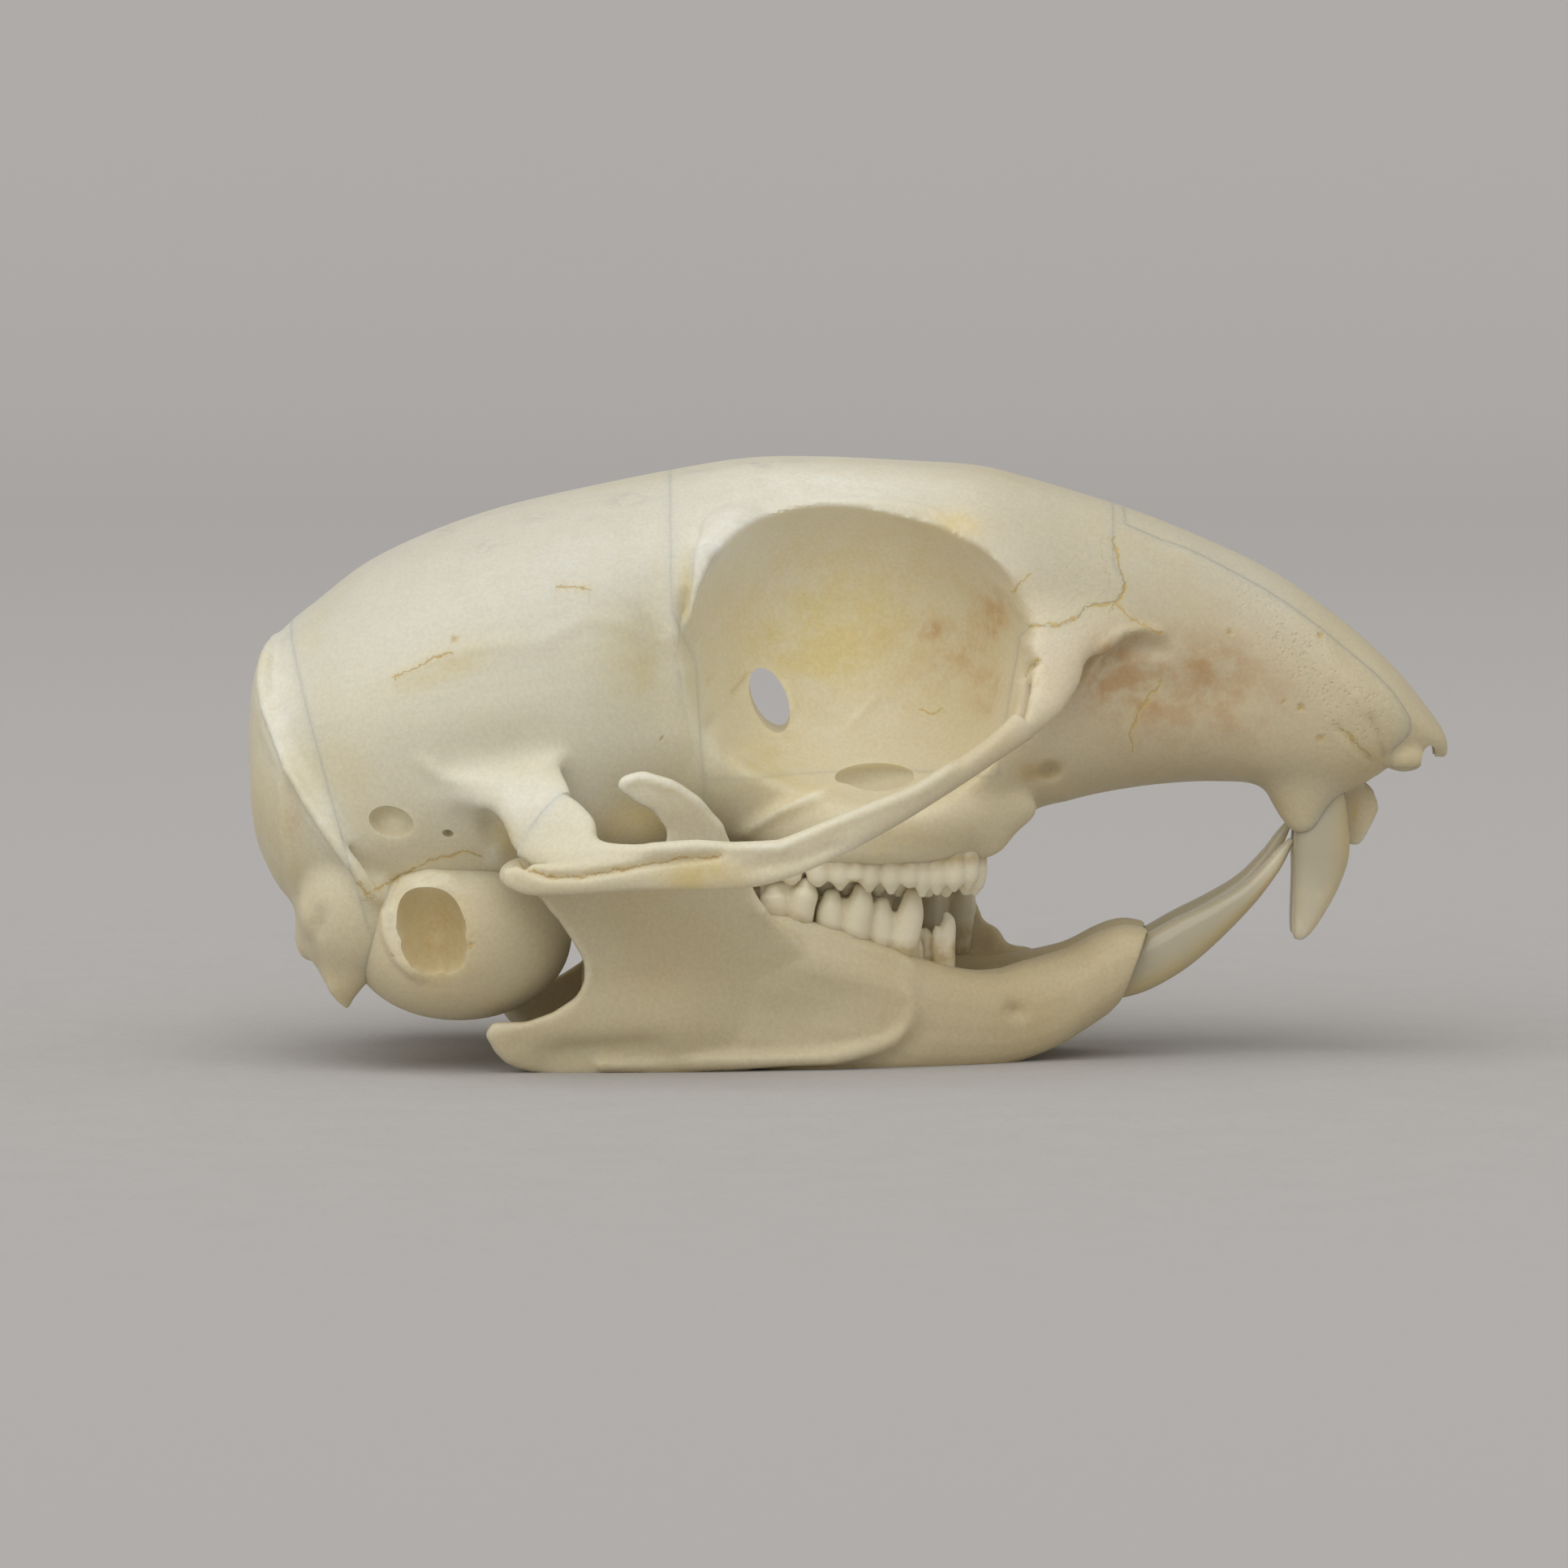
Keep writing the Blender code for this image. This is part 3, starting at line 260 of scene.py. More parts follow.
# Seams between the bones of the cranium, as outlines in side view (x, z)
OCCIPUT_SEAM = ((-19.62, 16.0), (-16.3, 4.4))
FRONT_SEAM = [(-5.0, -5.0), (-5.0, 10.1), (-5.3, 14.0), (-6.1, 16.0), (-6.4, 30.0)]
FACE_SEAM = [
    (5.1, 10.1), (5.95, 14.9), (6.3, 15.35), (6.85, 15.3), (7.2, 15.3), (7.92, 15.58),
    (8.15, 15.92), (8.76, 16.04), (9.2, 16.09), (9.49, 16.42), (9.55, 16.76),
    (9.15, 17.43), (9.45, 30.0),
]
NOSE_SEAM_DEPTH = 0.95
NOSE_SEAM_BACK = 9.6
NOSE_HOOD_X = 18.9
NOSE_HOOD_Z = 10.2
NOSE_HALF_WIDTH = 2.15

# Lower jaw. Stations of the body are upper edge, lower edge and thickness.
JAW_BODY = [
    ((-5.5, 6.5, 5.4), (-5.5, 6.2, 0.55), 1.3),
    ((-3.6, 5.8, 5.3), (-3.6, 5.9, 0.15), 2.0),
    ((-2.2, 5.2, 5.2), (-2.2, 5.3, -0.1), 2.6),
    ((0.3, 4.6, 4.5), (0.3, 4.6, -0.25), 2.8),
    ((2.0, 4.2, 3.9), (2.0, 4.0, -0.25), 2.7),
    ((4.0, 3.4, 3.3), (4.0, 3.1, -0.25), 2.7),
    ((5.5, 2.7, 3.25), (5.5, 2.3, -0.1), 2.7),
    ((7.5, 1.8, 3.7), (7.2, 1.65, 0.5), 3.0),
    ((8.7, 1.55, 4.3), (8.2, 1.5, 1.0), 3.0),
    ((9.7, 1.5, 4.65), (9.0, 1.5, 1.5), 2.9),
    ((10.45, 1.5, 4.55), (9.5, 1.5, 2.0), 2.6),
]
JAW_PLATE = [
    (-1.0, 1.6), (-1.6, 0.35), (-4.0, -0.1), (-8.0, -0.25), (-10.2, -0.2),
    (-11.35, 0.25), (-12.1, 0.8), (-12.5, 1.35), (-12.25, 1.75),
    (-11.1, 1.8), (-10.2, 2.12), (-9.4, 2.65), (-9.02, 3.3), (-9.05, 4.0),
    (-9.45, 4.75), (-9.95, 5.5), (-10.6, 6.2), (-11.4, 6.6), (-11.5, 7.1),
    (-10.7, 7.35), (-9.6, 7.0), (-8.4, 6.75), (-7.1, 7.1), (-6.35, 7.8),
    (-6.3, 8.5), (-6.75, 9.2), (-7.5, 9.65), (-7.95, 10.05), (-7.75, 10.4),
    (-7.0, 10.5), (-6.1, 10.25), (-5.2, 9.6), (-4.4, 8.7), (-3.85, 7.6),
    (-3.3, 6.4), (-2.9, 5.4), (-1.8, 4.6), (-0.9, 3.2),
]
JAW_PLATE_THICKNESS = 0.7
JAW_SPREAD = [(-1.0, 6.3), (0.0, 6.6), (1.5, 7.35), (3.5, 7.6), (6.0, 8.4),
              (7.5, 9.2), (9.0, 9.65), (11.0, 9.75)]
JAW_SPREAD_ALONG = [(-13.0, 1.0), (-9.0, 1.0), (-6.0, 0.97), (-3.0, 0.84),
                    (-1.0, 0.74), (1.0, 0.66)]
CONDYLE = ((-11.0, 9.1, 7.0), (1.0, 0.9, 0.62))
MUSCLE_RIDGE = [(-8.5, 7.0, 0.4), (-5.0, 6.6, 0.4), (-2.0, 6.1, 0.5),
                (0.2, 5.75, 0.7), (1.6, 5.35, 1.25), (1.9, 5.2, 1.9)]
MUSCLE_RIDGE_RADIUS = 0.36
MENTAL_HOLE = ((6.1, 4.15, 1.8), (0.4, 0.36, 0.24), 18)

# Incisors: centre line x, z, then half depth and half width
UPPER_INCISOR_Y = (1.1, 1.1)
UPPER_INCISOR = [
    (15.9, 10.6, 0.7, 0.4), (16.25, 9.7, 0.8, 0.42), (16.45, 8.9, 0.9, 0.5),
    (16.5, 8.1, 0.95, 0.62), (16.5, 7.2, 1.0, 0.66),
    (16.38, 6.4, 0.88, 0.64), (16.18, 5.6, 0.7, 0.6),
    (15.92, 4.75, 0.46, 0.52), (15.76, 4.3, 0.28, 0.42), (15.73, 4.12, 0.14, 0.3),
]
LOWER_INCISOR_Y = (1.5, 0.75)
LOWER_INCISOR = [
    (8.3, 2.65, 0.75, 0.5), (9.8, 3.05, 0.88, 0.54), (10.9, 3.6, 0.9, 0.58),
    (11.83, 4.18, 0.83, 0.58), (12.88, 4.88, 0.63, 0.55), (13.93, 5.7, 0.42, 0.5),
    (14.75, 6.6, 0.3, 0.44), (15.15, 7.15, 0.22, 0.36), (15.5, 7.6, 0.1, 0.2),
]
LEFT_TIP_LIFT = 0.55
SOCKET_SLACK = 0.05

# Cheek teeth, back to front: x of both ends, distance from the midline, width,
# height of the neck, then the outer cusps as x and height of the tip
UPPER_TEETH = [
    (-3.15, -1.4, 4.85, 2.0, 7.3, [(-2.75, 6.45), (-2.0, 6.35)]),
    (-1.32, 0.4, 4.85, 2.15, 7.25, [(-1.07, 6.3), (-0.31, 6.15), (0.22, 6.5)]),
    (0.5, 2.25, 4.75, 2.1, 7.2, [(0.7, 6.08), (1.45, 6.0), (2.08, 6.25)]),
    (2.33, 3.8, 4.7, 1.9, 7.2, [(2.54, 5.9), (3.04, 5.97), (3.62, 6.08)]),
    (3.86, 4.55, 4.75, 1.0, 7.3, [(4.1, 6.12)]),
]
LOWER_TEETH = [
    (-3.15, -1.15, 4.75, 1.75, 5.25, [(-2.6, 6.4, -2.55), (-1.45, 6.6, -1.75)]),
    (-1.08, 0.72, 4.4, 1.7, 4.55, [(-0.6, 6.17, -0.7), (0.45, 6.37, 0.15)]),
    (0.75, 2.5, 4.05, 1.6, 4.05, [(1.13, 5.85, 1.1), (2.2, 6.15, 1.8)]),
]
CUSP_RADIUS = (0.42, 0.16)           # outer cusps, at the crown and at the tip
COLUMN_RADIUS = (0.50, 0.33)         # lower columns
TOOTH_ROOT = 1.1
# The left jaw still has its premolar; the right one is broken to stumps, given
# as x, y, z and radius
LEFT_PREMOLAR = (2.65, 4.5, 3.75, 1.5, 4.0, [(3.1, 6.0, 3.05), (4.1, 5.9, 3.95)])
PREMOLAR_SPIKES = [
    [(3.3, 3.5, 2.9, 0.40), (3.33, 3.52, 4.2, 0.38), (3.46, 3.5, 4.9, 0.26), (3.38, 3.5, 5.2, 0.12)],
    [(3.08, 3.7, 3.2, 0.2), (3.08, 3.72, 4.5, 0.2), (3.04, 3.75, 4.75, 0.1)],
    [(2.35, 3.9, 3.2, 0.26), (2.38, 3.9, 4.1, 0.2), (2.36, 3.9, 4.5, 0.07)],
    [(2.7, 3.4, 3.3, 0.3), (2.7, 3.4, 4.4, 0.22), (2.66, 3.4, 4.65, 0.1)],
]
# Bone that stands round the left premolar, and where the left jaw's hook ends
LEFT_WALL = [
    ((2.6, 3.5, 4.5), (2.6, 3.5, 2.8), 0.9), ((3.05, 3.5, 5.15), (3.1, 3.5, 2.8), 0.8),
    ((4.25, 3.45, 5.3), (4.2, 3.45, 2.8), 0.7), ((4.62, 3.4, 4.9), (4.6, 3.4, 2.8), 0.6),
    ((4.8, 3.4, 4.45), (4.8, 3.4, 2.8), 0.6), ((5.3, 3.3, 4.15), (5.3, 3.3, 2.6), 0.6),
    ((5.7, 3.2, 3.6), (5.7, 3.2, 2.5), 0.6), ((6.6, 3.1, 3.35), (6.6, 3.1, 2.4), 0.6),
]
LEFT_HOOK_END = (-9.35, 3.2)

# Places that are smoothed before the carving: centre and half size in the
# picture, turn in degrees, share, and how far from the midline (from, to)
CRANIUM_SOFTENING = [
    (872, 890, 40, 125, 0, 1.0, (2.5, 12)),
    (400, 1165, 48, 70, 0, 1.0, (0, 20)),
    (1250, 1012, 46, 30, 0, 1.0, (3, 20)),
    (1600, 985, 44, 34, 0, 1.0, (0.6, 20)),
    (605, 975, 130, 56, 0, 1.0, (5, 20)),
    (1440, 860, 120, 60, 0, 0.8, (1, 20)),
    (1000, 1015, 130, 40, 0, 0.8, (3, 8)),
    (1330, 760, 90, 50, 0, 0.5, (3, 20)),
]
SOFTENING_ROUNDS = 110
SHARP_ANGLE = math.radians(48)       # edges sharper than this stay crisp, as at the seams
CRISP_MATCH = 0.82                   # face and point normals match less than this there

# Carving of the cranium: places in the picture, reach and lift in millimetres,
# and how far from the midline the bone has to be (from, to)
CRANIUM_CARVING = [
    ("neck muscle crest", [(332, 795), (322, 824), (319, 865), (324, 897), (338, 932),
                           (364, 967), (380, 1009), (405, 1041), (428, 1066), (453, 1108)],
     0.2, 0.1, (0, 20)),
    ("behind the crest", [(312, 880), (322, 940), (345, 985), (362, 1030), (395, 1075)],
     0.6, -0.07, (0, 20)),
    ("ahead of the crest", [(375, 830), (372, 900), (400, 960), (440, 1010)],
     1.2, -0.14, (0, 20)),
    ("occiput ridge", [(345, 950), (350, 1030), (375, 1130), (400, 1200), (418, 1234)],
     0.25, 0.14, (0, 20)),
    ("root crest", [(515, 935), (529, 945), (548, 959), (580, 963), (609, 960), (647, 951),
                    (700, 930)], 0.3, 0.12, (5, 20)),
    ("over the root crest", [(560, 925), (620, 925), (680, 905)], 0.8, -0.12, (5, 20)),
    ("temple ridge", [(482, 837), (537, 809), (601, 795), (670, 791), (721, 761),
                      (767, 768), (808, 786), (845, 786)], 0.3, 0.05, (5, 20)),
    ("under the temple ridge", [(520, 860), (600, 840), (700, 830)], 0.9, -0.06, (5, 20)),
    ("temple hollow", [(800, 720), (815, 800), (830, 880)], 0.9, -0.24, (5, 20)),
    ("behind the spine", [(846, 730), (848, 770), (852, 815)], 0.3, -0.35, (3, 7.8)),
    ("spine", [(872, 690), (858, 725), (852, 770)], 0.12, 0.1, (6.5, 20)),
    ("braincase front edge", [(855, 765), (860, 830), (880, 900), (885, 1000)],
     0.35, 0.08, (3, 12)),
    ("orbit rim", [(882, 680), (892, 668), (912, 652), (953, 632), (991, 621), (1055, 618),
                   (1103, 621), (1144, 628), (1183, 660), (1199, 683), (1224, 712),
                   (1246, 731), (1259, 760)], 0.16, 0.08, (2.5, 20)),
    ("over the orbit rim", [(912, 636), (960, 608), (1030, 600), (1120, 604), (1190, 622)],
     0.4, -0.1, (2.5, 20)),
    ("optic groove", [(870, 845), (880, 832)], 0.14, -0.15, (0, 20)),
    ("orbit grooves", [(903, 857), (928, 828)], 0.12, -0.24, (0, 9)),
    ("orbit lower grooves", [(873, 900), (878, 880)], 0.2, -0.2, (0, 20)),
    ("orbit strut", [(968, 838), (975, 870), (962, 898), (945, 905)], 0.16, 0.2, (0, 9)),
    ("orbit fold", [(990, 905), (1040, 897), (1085, 850)], 0.25, 0.12, (0, 8)),
    ("thin wall", [(1010, 880), (1035, 865)], 0.55, -0.3, (0, 8)),
    ("orbit floor line", [(905, 935), (960, 915), (1010, 925)], 0.3, 0.12, (0, 9)),
    ("tear knob folds", [(1258, 838), (1266, 822), (1282, 812)], 0.12, -0.2, (3, 20)),
    ("tear knob top", [(1262, 790), (1275, 800)], 0.25, 0.16, (3, 20)),
    ("capsule edge", [(905, 1030), (960, 1000), (1023, 976), (1081, 970), (1109, 966)],
     0.25, 0.2, (2.5, 8)),
    ("plate edge", [(1330, 852), (1346, 819), (1360, 796), (1381, 779), (1410, 774),
                    (1434, 781)], 0.18, 0.2, (2.5, 20)),
    ("plate shadow", [(1375, 812), (1400, 796), (1440, 802)], 0.3, -0.24, (2.5, 20)),
    ("muscle hollow front", [(1440, 860), (1500, 850), (1540, 830)], 0.8, -0.12, (2, 20)),
    ("snout ridge", [(1440, 670), (1550, 730), (1625, 790), (1690, 880)], 0.4, 0.12, (1.2, 20)),
    ("snout groove", [(1500, 745), (1590, 800), (1650, 870)], 0.35, -0.05, (1.2, 20)),
    ("suture fold", [(1645, 892), (1668, 916), (1695, 943)], 0.13, -0.1, (0.8, 20)),
    ("nose lobe edge", [(1686, 880), (1700, 905), (1708, 938)], 0.12, -0.1, (0.5, 20)),
    ("socket swelling", [(1590, 985), (1560, 930), (1530, 890)], 0.8, 0.1, (1, 20)),
    ("palate edge", [(1290, 985), (1358, 974), (1445, 968), (1520, 974)], 0.3, 0.1, (0.5, 20)),
    ("cheek over the teeth", [(1010, 1056), (1080, 1054), (1160, 1054), (1200, 1056)],
     0.3, 0.14, (4, 8)),
    ("socket behind the root", [(596, 1005), (611, 1035)], 0.35, -0.4, (5, 20)),
    ("condyle waist", [(395, 1120), (385, 1160), (398, 1210)], 0.3, -0.2, (0, 20)),
]

# Carving of the lower jaws, in the same form
JAW_CARVING = [
    ("muscle line", [(840, 1306), (950, 1305), (1024, 1306), (1080, 1297), (1100, 1284),
                     (1118, 1262), (1124, 1240), (1112, 1205)], 0.3, 0.12, (0, 20)),
    ("muscle hollow", [(880, 1245), (980, 1258), (1060, 1236)], 1.2, -0.3, (0, 20)),
    ("ramus hollow", [(740, 1180), (800, 1210), (870, 1200)], 1.2, -0.1, (0, 20)),
    ("tooth row edge", [(926, 1110), (946, 1129), (998, 1143), (1042, 1156), (1072, 1170),
                        (1109, 1180), (1135, 1200)], 0.25, 0.14, (0, 20)),
    ("under the tooth row", [(960, 1170), (1040, 1195), (1100, 1215)], 0.7, 0.16, (0, 20)),
    ("below the muscle line", [(1040, 1318), (1110, 1300), (1145, 1265)], 0.4, -0.12, (0, 20)),
    ("notch edge", [(672, 1112), (690, 1136), (712, 1162), (726, 1190), (722, 1216)],
     0.22, 0.1, (0, 20)),
    ("coronoid edge", [(765, 966), (790, 955), (841, 972), (880, 1000), (902, 1026)],
     0.2, 0.1, (0, 20)),
    ("coronoid hollow", [(800, 1000), (850, 1040)], 0.6, -0.12, (0, 20)),
    ("gap edge", [(1240, 1196), (1277, 1188), (1314, 1177), (1351, 1156), (1388, 1143)],
     0.3, 0.1, (0, 20)),
    ("mental dimple", [(1243, 1241), (1262, 1249)], 0.28, -0.34, (0.5, 20)),
    ("angle groove", [(668, 1300), (740, 1296), (820, 1290)], 0.45, -0.26, (0, 20)),
    ("angle hook", [(612, 1272), (625, 1300), (660, 1316)], 0.5, 0.2, (0, 20)),
]

# Carving of the cheek arches and the ear capsules, in the same form
ARCH_CARVING = [
    ("upper keel", [(1180, 942), (1130, 974), (1050, 1006), (960, 1045), (904, 1046),
                    (858, 1042), (790, 1048)], 0.2, 0.16, (0, 20)),
    ("side groove", [(1040, 1040), (980, 1062), (917, 1070)], 0.3, -0.14, (0, 20)),
    ("joint with the root", [(637, 1059), (654, 1073), (675, 1080), (713, 1080),
                             (764, 1072), (802, 1064), (841, 1059), (892, 1054)],
     0.13, -0.16, (0, 20)),
    ("root hollow", [(690, 1010), (700, 1040)], 0.6, -0.16, (0, 20)),
]
BULLA_CARVING = [
    ("rim behind", [(476, 1112), (478, 1150), (492, 1180), (520, 1205)], 0.22, 0.26, (5, 20)),
    ("rim above", [(490, 1088), (530, 1078), (568, 1086)], 0.22, 0.2, (5, 20)),
    ("tympanic swell", [(600, 1100), (640, 1140), (640, 1190)], 1.2, 0.14, (3, 20)),
]

# Yellow sutures and cracks: places in the picture and half the line's width
SUTURES = [
    ([(1372, 660), (1378, 694), (1386, 718), (1384, 730), (1374, 742), (1358, 744),
      (1336, 748), (1328, 760), (1303, 770), (1289, 770), (1266, 772)], 0.09, (2, 20)),
    ([(1374, 744), (1394, 764), (1413, 770), (1433, 781)], 0.07, (2, 20)),
    ([(1433, 833), (1419, 856), (1406, 872)], 0.075, (2, 20)),
    ([(1406, 872), (1394, 896), (1396, 928)], 0.035, (2, 20)),
    ([(1246, 731), (1259, 716), (1272, 706)], 0.035, (2, 20)),
    ([(482, 837), (537, 809), (560, 803)], 0.05, (5, 20)),
    ([(684, 722), (708, 724), (730, 727)], 0.035, (5, 20)),
    ([(453, 1101), (491, 1082), (530, 1060), (577, 1049), (597, 1057)], 0.06, (5, 20)),
    ([(441, 1085), (455, 1108)], 0.09, (5, 20)),
    ([(1651, 897), (1668, 912), (1689, 933)], 0.05, (0.8, 20)),
    ([(1130, 873), (1150, 878), (1165, 871)], 0.03, (0, 7)),
    ([(637, 1059), (654, 1073), (675, 1080), (713, 1080), (764, 1072), (802, 1064),
      (841, 1059), (892, 1054)], 0.05, (9, 20)),
    ([(1262, 836), (1268, 822), (1284, 812)], 0.05, (3, 20)),
]

# Tinted patches: centre and half size in the picture, turn in degrees,
# strength, and how far from the midline the bone has to be (from, to)
WARM_PATCHES = [
    (1060, 740, 190, 120, 0, 0.55, (0, 7)),
    (1010, 800, 90, 60, 10, 0.6, (0, 7)),
    (940, 950, 70, 60, 0, 0.55, (0, 9)),
    (1182, 646, 26, 14, 20, 1.0, (2.5, 20)),
    (545, 825, 70, 16, -22, 0.55, (5, 20)),
    (790, 810, 40, 60, 0, 0.5, (5, 20)),
    (845, 720, 8, 40, 0, 0.8, (3, 20)),
    (790, 1010, 50, 30, 0, 0.9, (3, 9)),
    (618, 1030, 12, 24, -20, 1.2, (5, 20)),
    (530, 1150, 55, 70, 0, 0.5, (3, 20)),
    (340, 1020, 30, 120, -12, 0.35, (0, 20)),
    (420, 960, 40, 60, 0, 0.25, (0, 20)),
    (1690, 945, 40, 40, 0, 0.4, (0.5, 20)),
    (1669, 998, 5, 20, 0, 1.0, (0, 1.4)),
    (1275, 952, 24, 16, 0, 0.6, (2, 20)),
    (865, 1078, 44, 22, -8, 1.0, (9, 20)),
    (1000, 1045, 60, 14, -18, 0.35, (9, 20)),
    (1130, 1030, 90, 26, 0, 0.3, (3, 8)),
    (1000, 590, 500, 18, 0, 0.2, (0, 20)),
    (1520, 985, 60, 10, 8, 0.6, (0.5, 20)),
]
# Marrow stain; the patches in the hollow before the cheek plate are painted shade of that recess
STAIN_AND_SHADE_PATCHES = [
    (703, 1190, 26, 34, 0, 0.8, (0, 3.2)),
    (1440, 850, 130, 75, 4, 0.55, (1, 20)),
    (1365, 812, 16, 24, 20, 0.5, (1, 20)),
    (1150, 776, 16, 13, 0, 1.0, (0, 9)),
    (1222, 752, 20, 26, -30, 0.9, (0, 9)),
    (1226, 776, 8, 10, 0, 0.7, (0, 9)),
    (1190, 800, 24, 30, 10, 0.6, (0, 9)),
    (1215, 845, 22, 26, 0, 0.6, (0, 9)),
    (1160, 825, 20, 20, 0, 0.4, (0, 9)),
    (1212, 874, 10, 12, 0, 0.5, (0, 9)),
    (1120, 820, 50, 50, 0, 0.2, (0, 9)),
    (1365, 830, 24, 36, 20, 0.8, (1, 20)),
    (1400, 860, 30, 24, 0, 0.6, (1, 20)),
    (1480, 810, 60, 26, 4, 0.45, (1, 20)),
    (1500, 860, 90, 50, 4, 0.3, (1, 20)),
    (1270, 952, 14, 10, 0, 0.5, (2, 20)),
    (360, 1000, 14, 40, -12, 0.3, (0, 20)),
    (545, 1150, 22, 30, 0, 0.5, (2, 20)),
]
# Chalky bone, and painted highlight on crests and on the top of the skull
CHALK_AND_HIGHLIGHT_PATCHES = [
    (1300, 830, 46, 60, 30, 0.7, (3, 20)),
    (345, 860, 20, 90, 0, 0.8, (0, 20)),
    (400, 1010, 26, 70, -35, 0.7, (0, 20)),
    (640, 985, 110, 34, 6, 0.9, (5, 20)),
    (1050, 600, 190, 24, 2, 0.6, (2, 20)),
    (900, 665, 50, 40, -35, 0.6, (2, 20)),
    (1240, 690, 60, 50, 40, 0.4, (2, 20)),
    (1300, 800, 50, 44, 0, 0.5, (2, 20)),
    (700, 700, 260, 60, -16, 0.4, (2, 20)),
    (1610, 800, 110, 34, 42, 0.5, (1, 20)),
    (530, 1085, 60, 14, 0, 0.8, (5, 20)),
    (484, 1145, 12, 50, -10, 0.8, (5, 20)),
    (606, 1056, 12, 14, 0, 1.0, (5, 20)),
    (900, 1045, 280, 16, 0, 0.5, (9, 20)),
    (1290, 880, 60, 50, 45, 0.5, (3, 20)),
]
POROUS_PATCHES = [
    (1600, 800, 110, 34, 42, 1.0, (1, 20)),
    (1665, 880, 40, 40, 45, 1.0, (1, 20)),
    (1330, 700, 80, 40, 30, 0.35, (1, 20)),
    (1310, 800, 50, 50, 0, 0.5, (2, 20)),
]
# Painted glow: emission on thin walls and round the edges of holes that lifts their shade, standing in
# for light that comes through the bone
PAINTED_GLOW_PATCHES = [
    (1040, 770, 190, 150, 0, 1.0, (0, 7.2)),
    (1000, 930, 110, 60, 0, 0.25, (0, 8)),
    (530, 1145, 50, 62, 0, 0.6, (0, 8.1)),
    (484, 1014, 18, 14, 0, 0.8, (0, 8.5)),
    (1182, 646, 28, 16, 20, 0.6, (0, 20)),
    (785, 1015, 40, 30, 0, 0.8, (0, 9.2)),
    (1100, 1090, 160, 40, 0, 0.4, (0, 20)),
]
# Grey, glassy blisters on top of the braincase
BLISTER_PATCHES = [
    (775, 615, 30, 8, -5, 1.0, (0, 20)), (735, 640, 16, 6, -10, 0.8, (0, 20)),
    (550, 655, 10, 5, -20, 1.0, (0, 20)), (600, 672, 16, 8, -15, 1.0, (0, 20)),
    (655, 640, 22, 5, -12, 0.8, (0, 20)), (930, 572, 26, 5, 2, 0.9, (0, 20)),
    (980, 568, 14, 4, 0, 0.8, (0, 20)), (860, 580, 22, 5, -4, 0.7, (0, 20)),
    (575, 690, 9, 4, 0, 0.7, (0, 20)),
]
# Specks, and pinholes painted dark as their shade: place, radius in millimetres
SPECKS_AND_PINHOLE_SHADE = [
    (1516, 779, 0.09), (1627, 783, 0.1), (1603, 872, 0.12), (1627, 910, 0.11),
    (1583, 866, 0.06), (1277, 928, 0.03), (560, 788, 0.1), (816, 910, 0.04),
    (993, 733, 0.04), (580, 1165, 0.11), (582, 1153, 0.05), (1494, 913, 0.03),
    (404, 918, 0.04), (484, 1178, 0.03), (992, 768, 0.03),
]


class SkullShape(bpy.types.PropertyGroup):
    grid: FloatProperty(
        name="Bone grid", description="Grid on which the fused bones are melted together",
        default=0.125 * MM, min=0.08 * MM, max=0.5 * MM, unit="LENGTH", precision=6)
    tooth_grid: FloatProperty(
        name="Tooth grid", description="Grid on which the parts of a tooth are melted together",
        default=0.06 * MM, min=0.03 * MM, max=0.2 * MM, unit="LENGTH", precision=6)
    seam: FloatProperty(
        name="Seam width", description="Space left open between neighbouring bones",
        default=0.0, min=0.0, max=0.3 * MM, unit="LENGTH", precision=6)
    melt: IntProperty(
        name="Melting", description="Times that the joints between fused forms are smoothed",
        default=5, min=0, max=30)
    carving: FloatProperty(
        name="Carving", description="Share of the carved ridges and hollows that is kept",
        default=1.0, min=0.0, max=2.0, subtype="FACTOR")


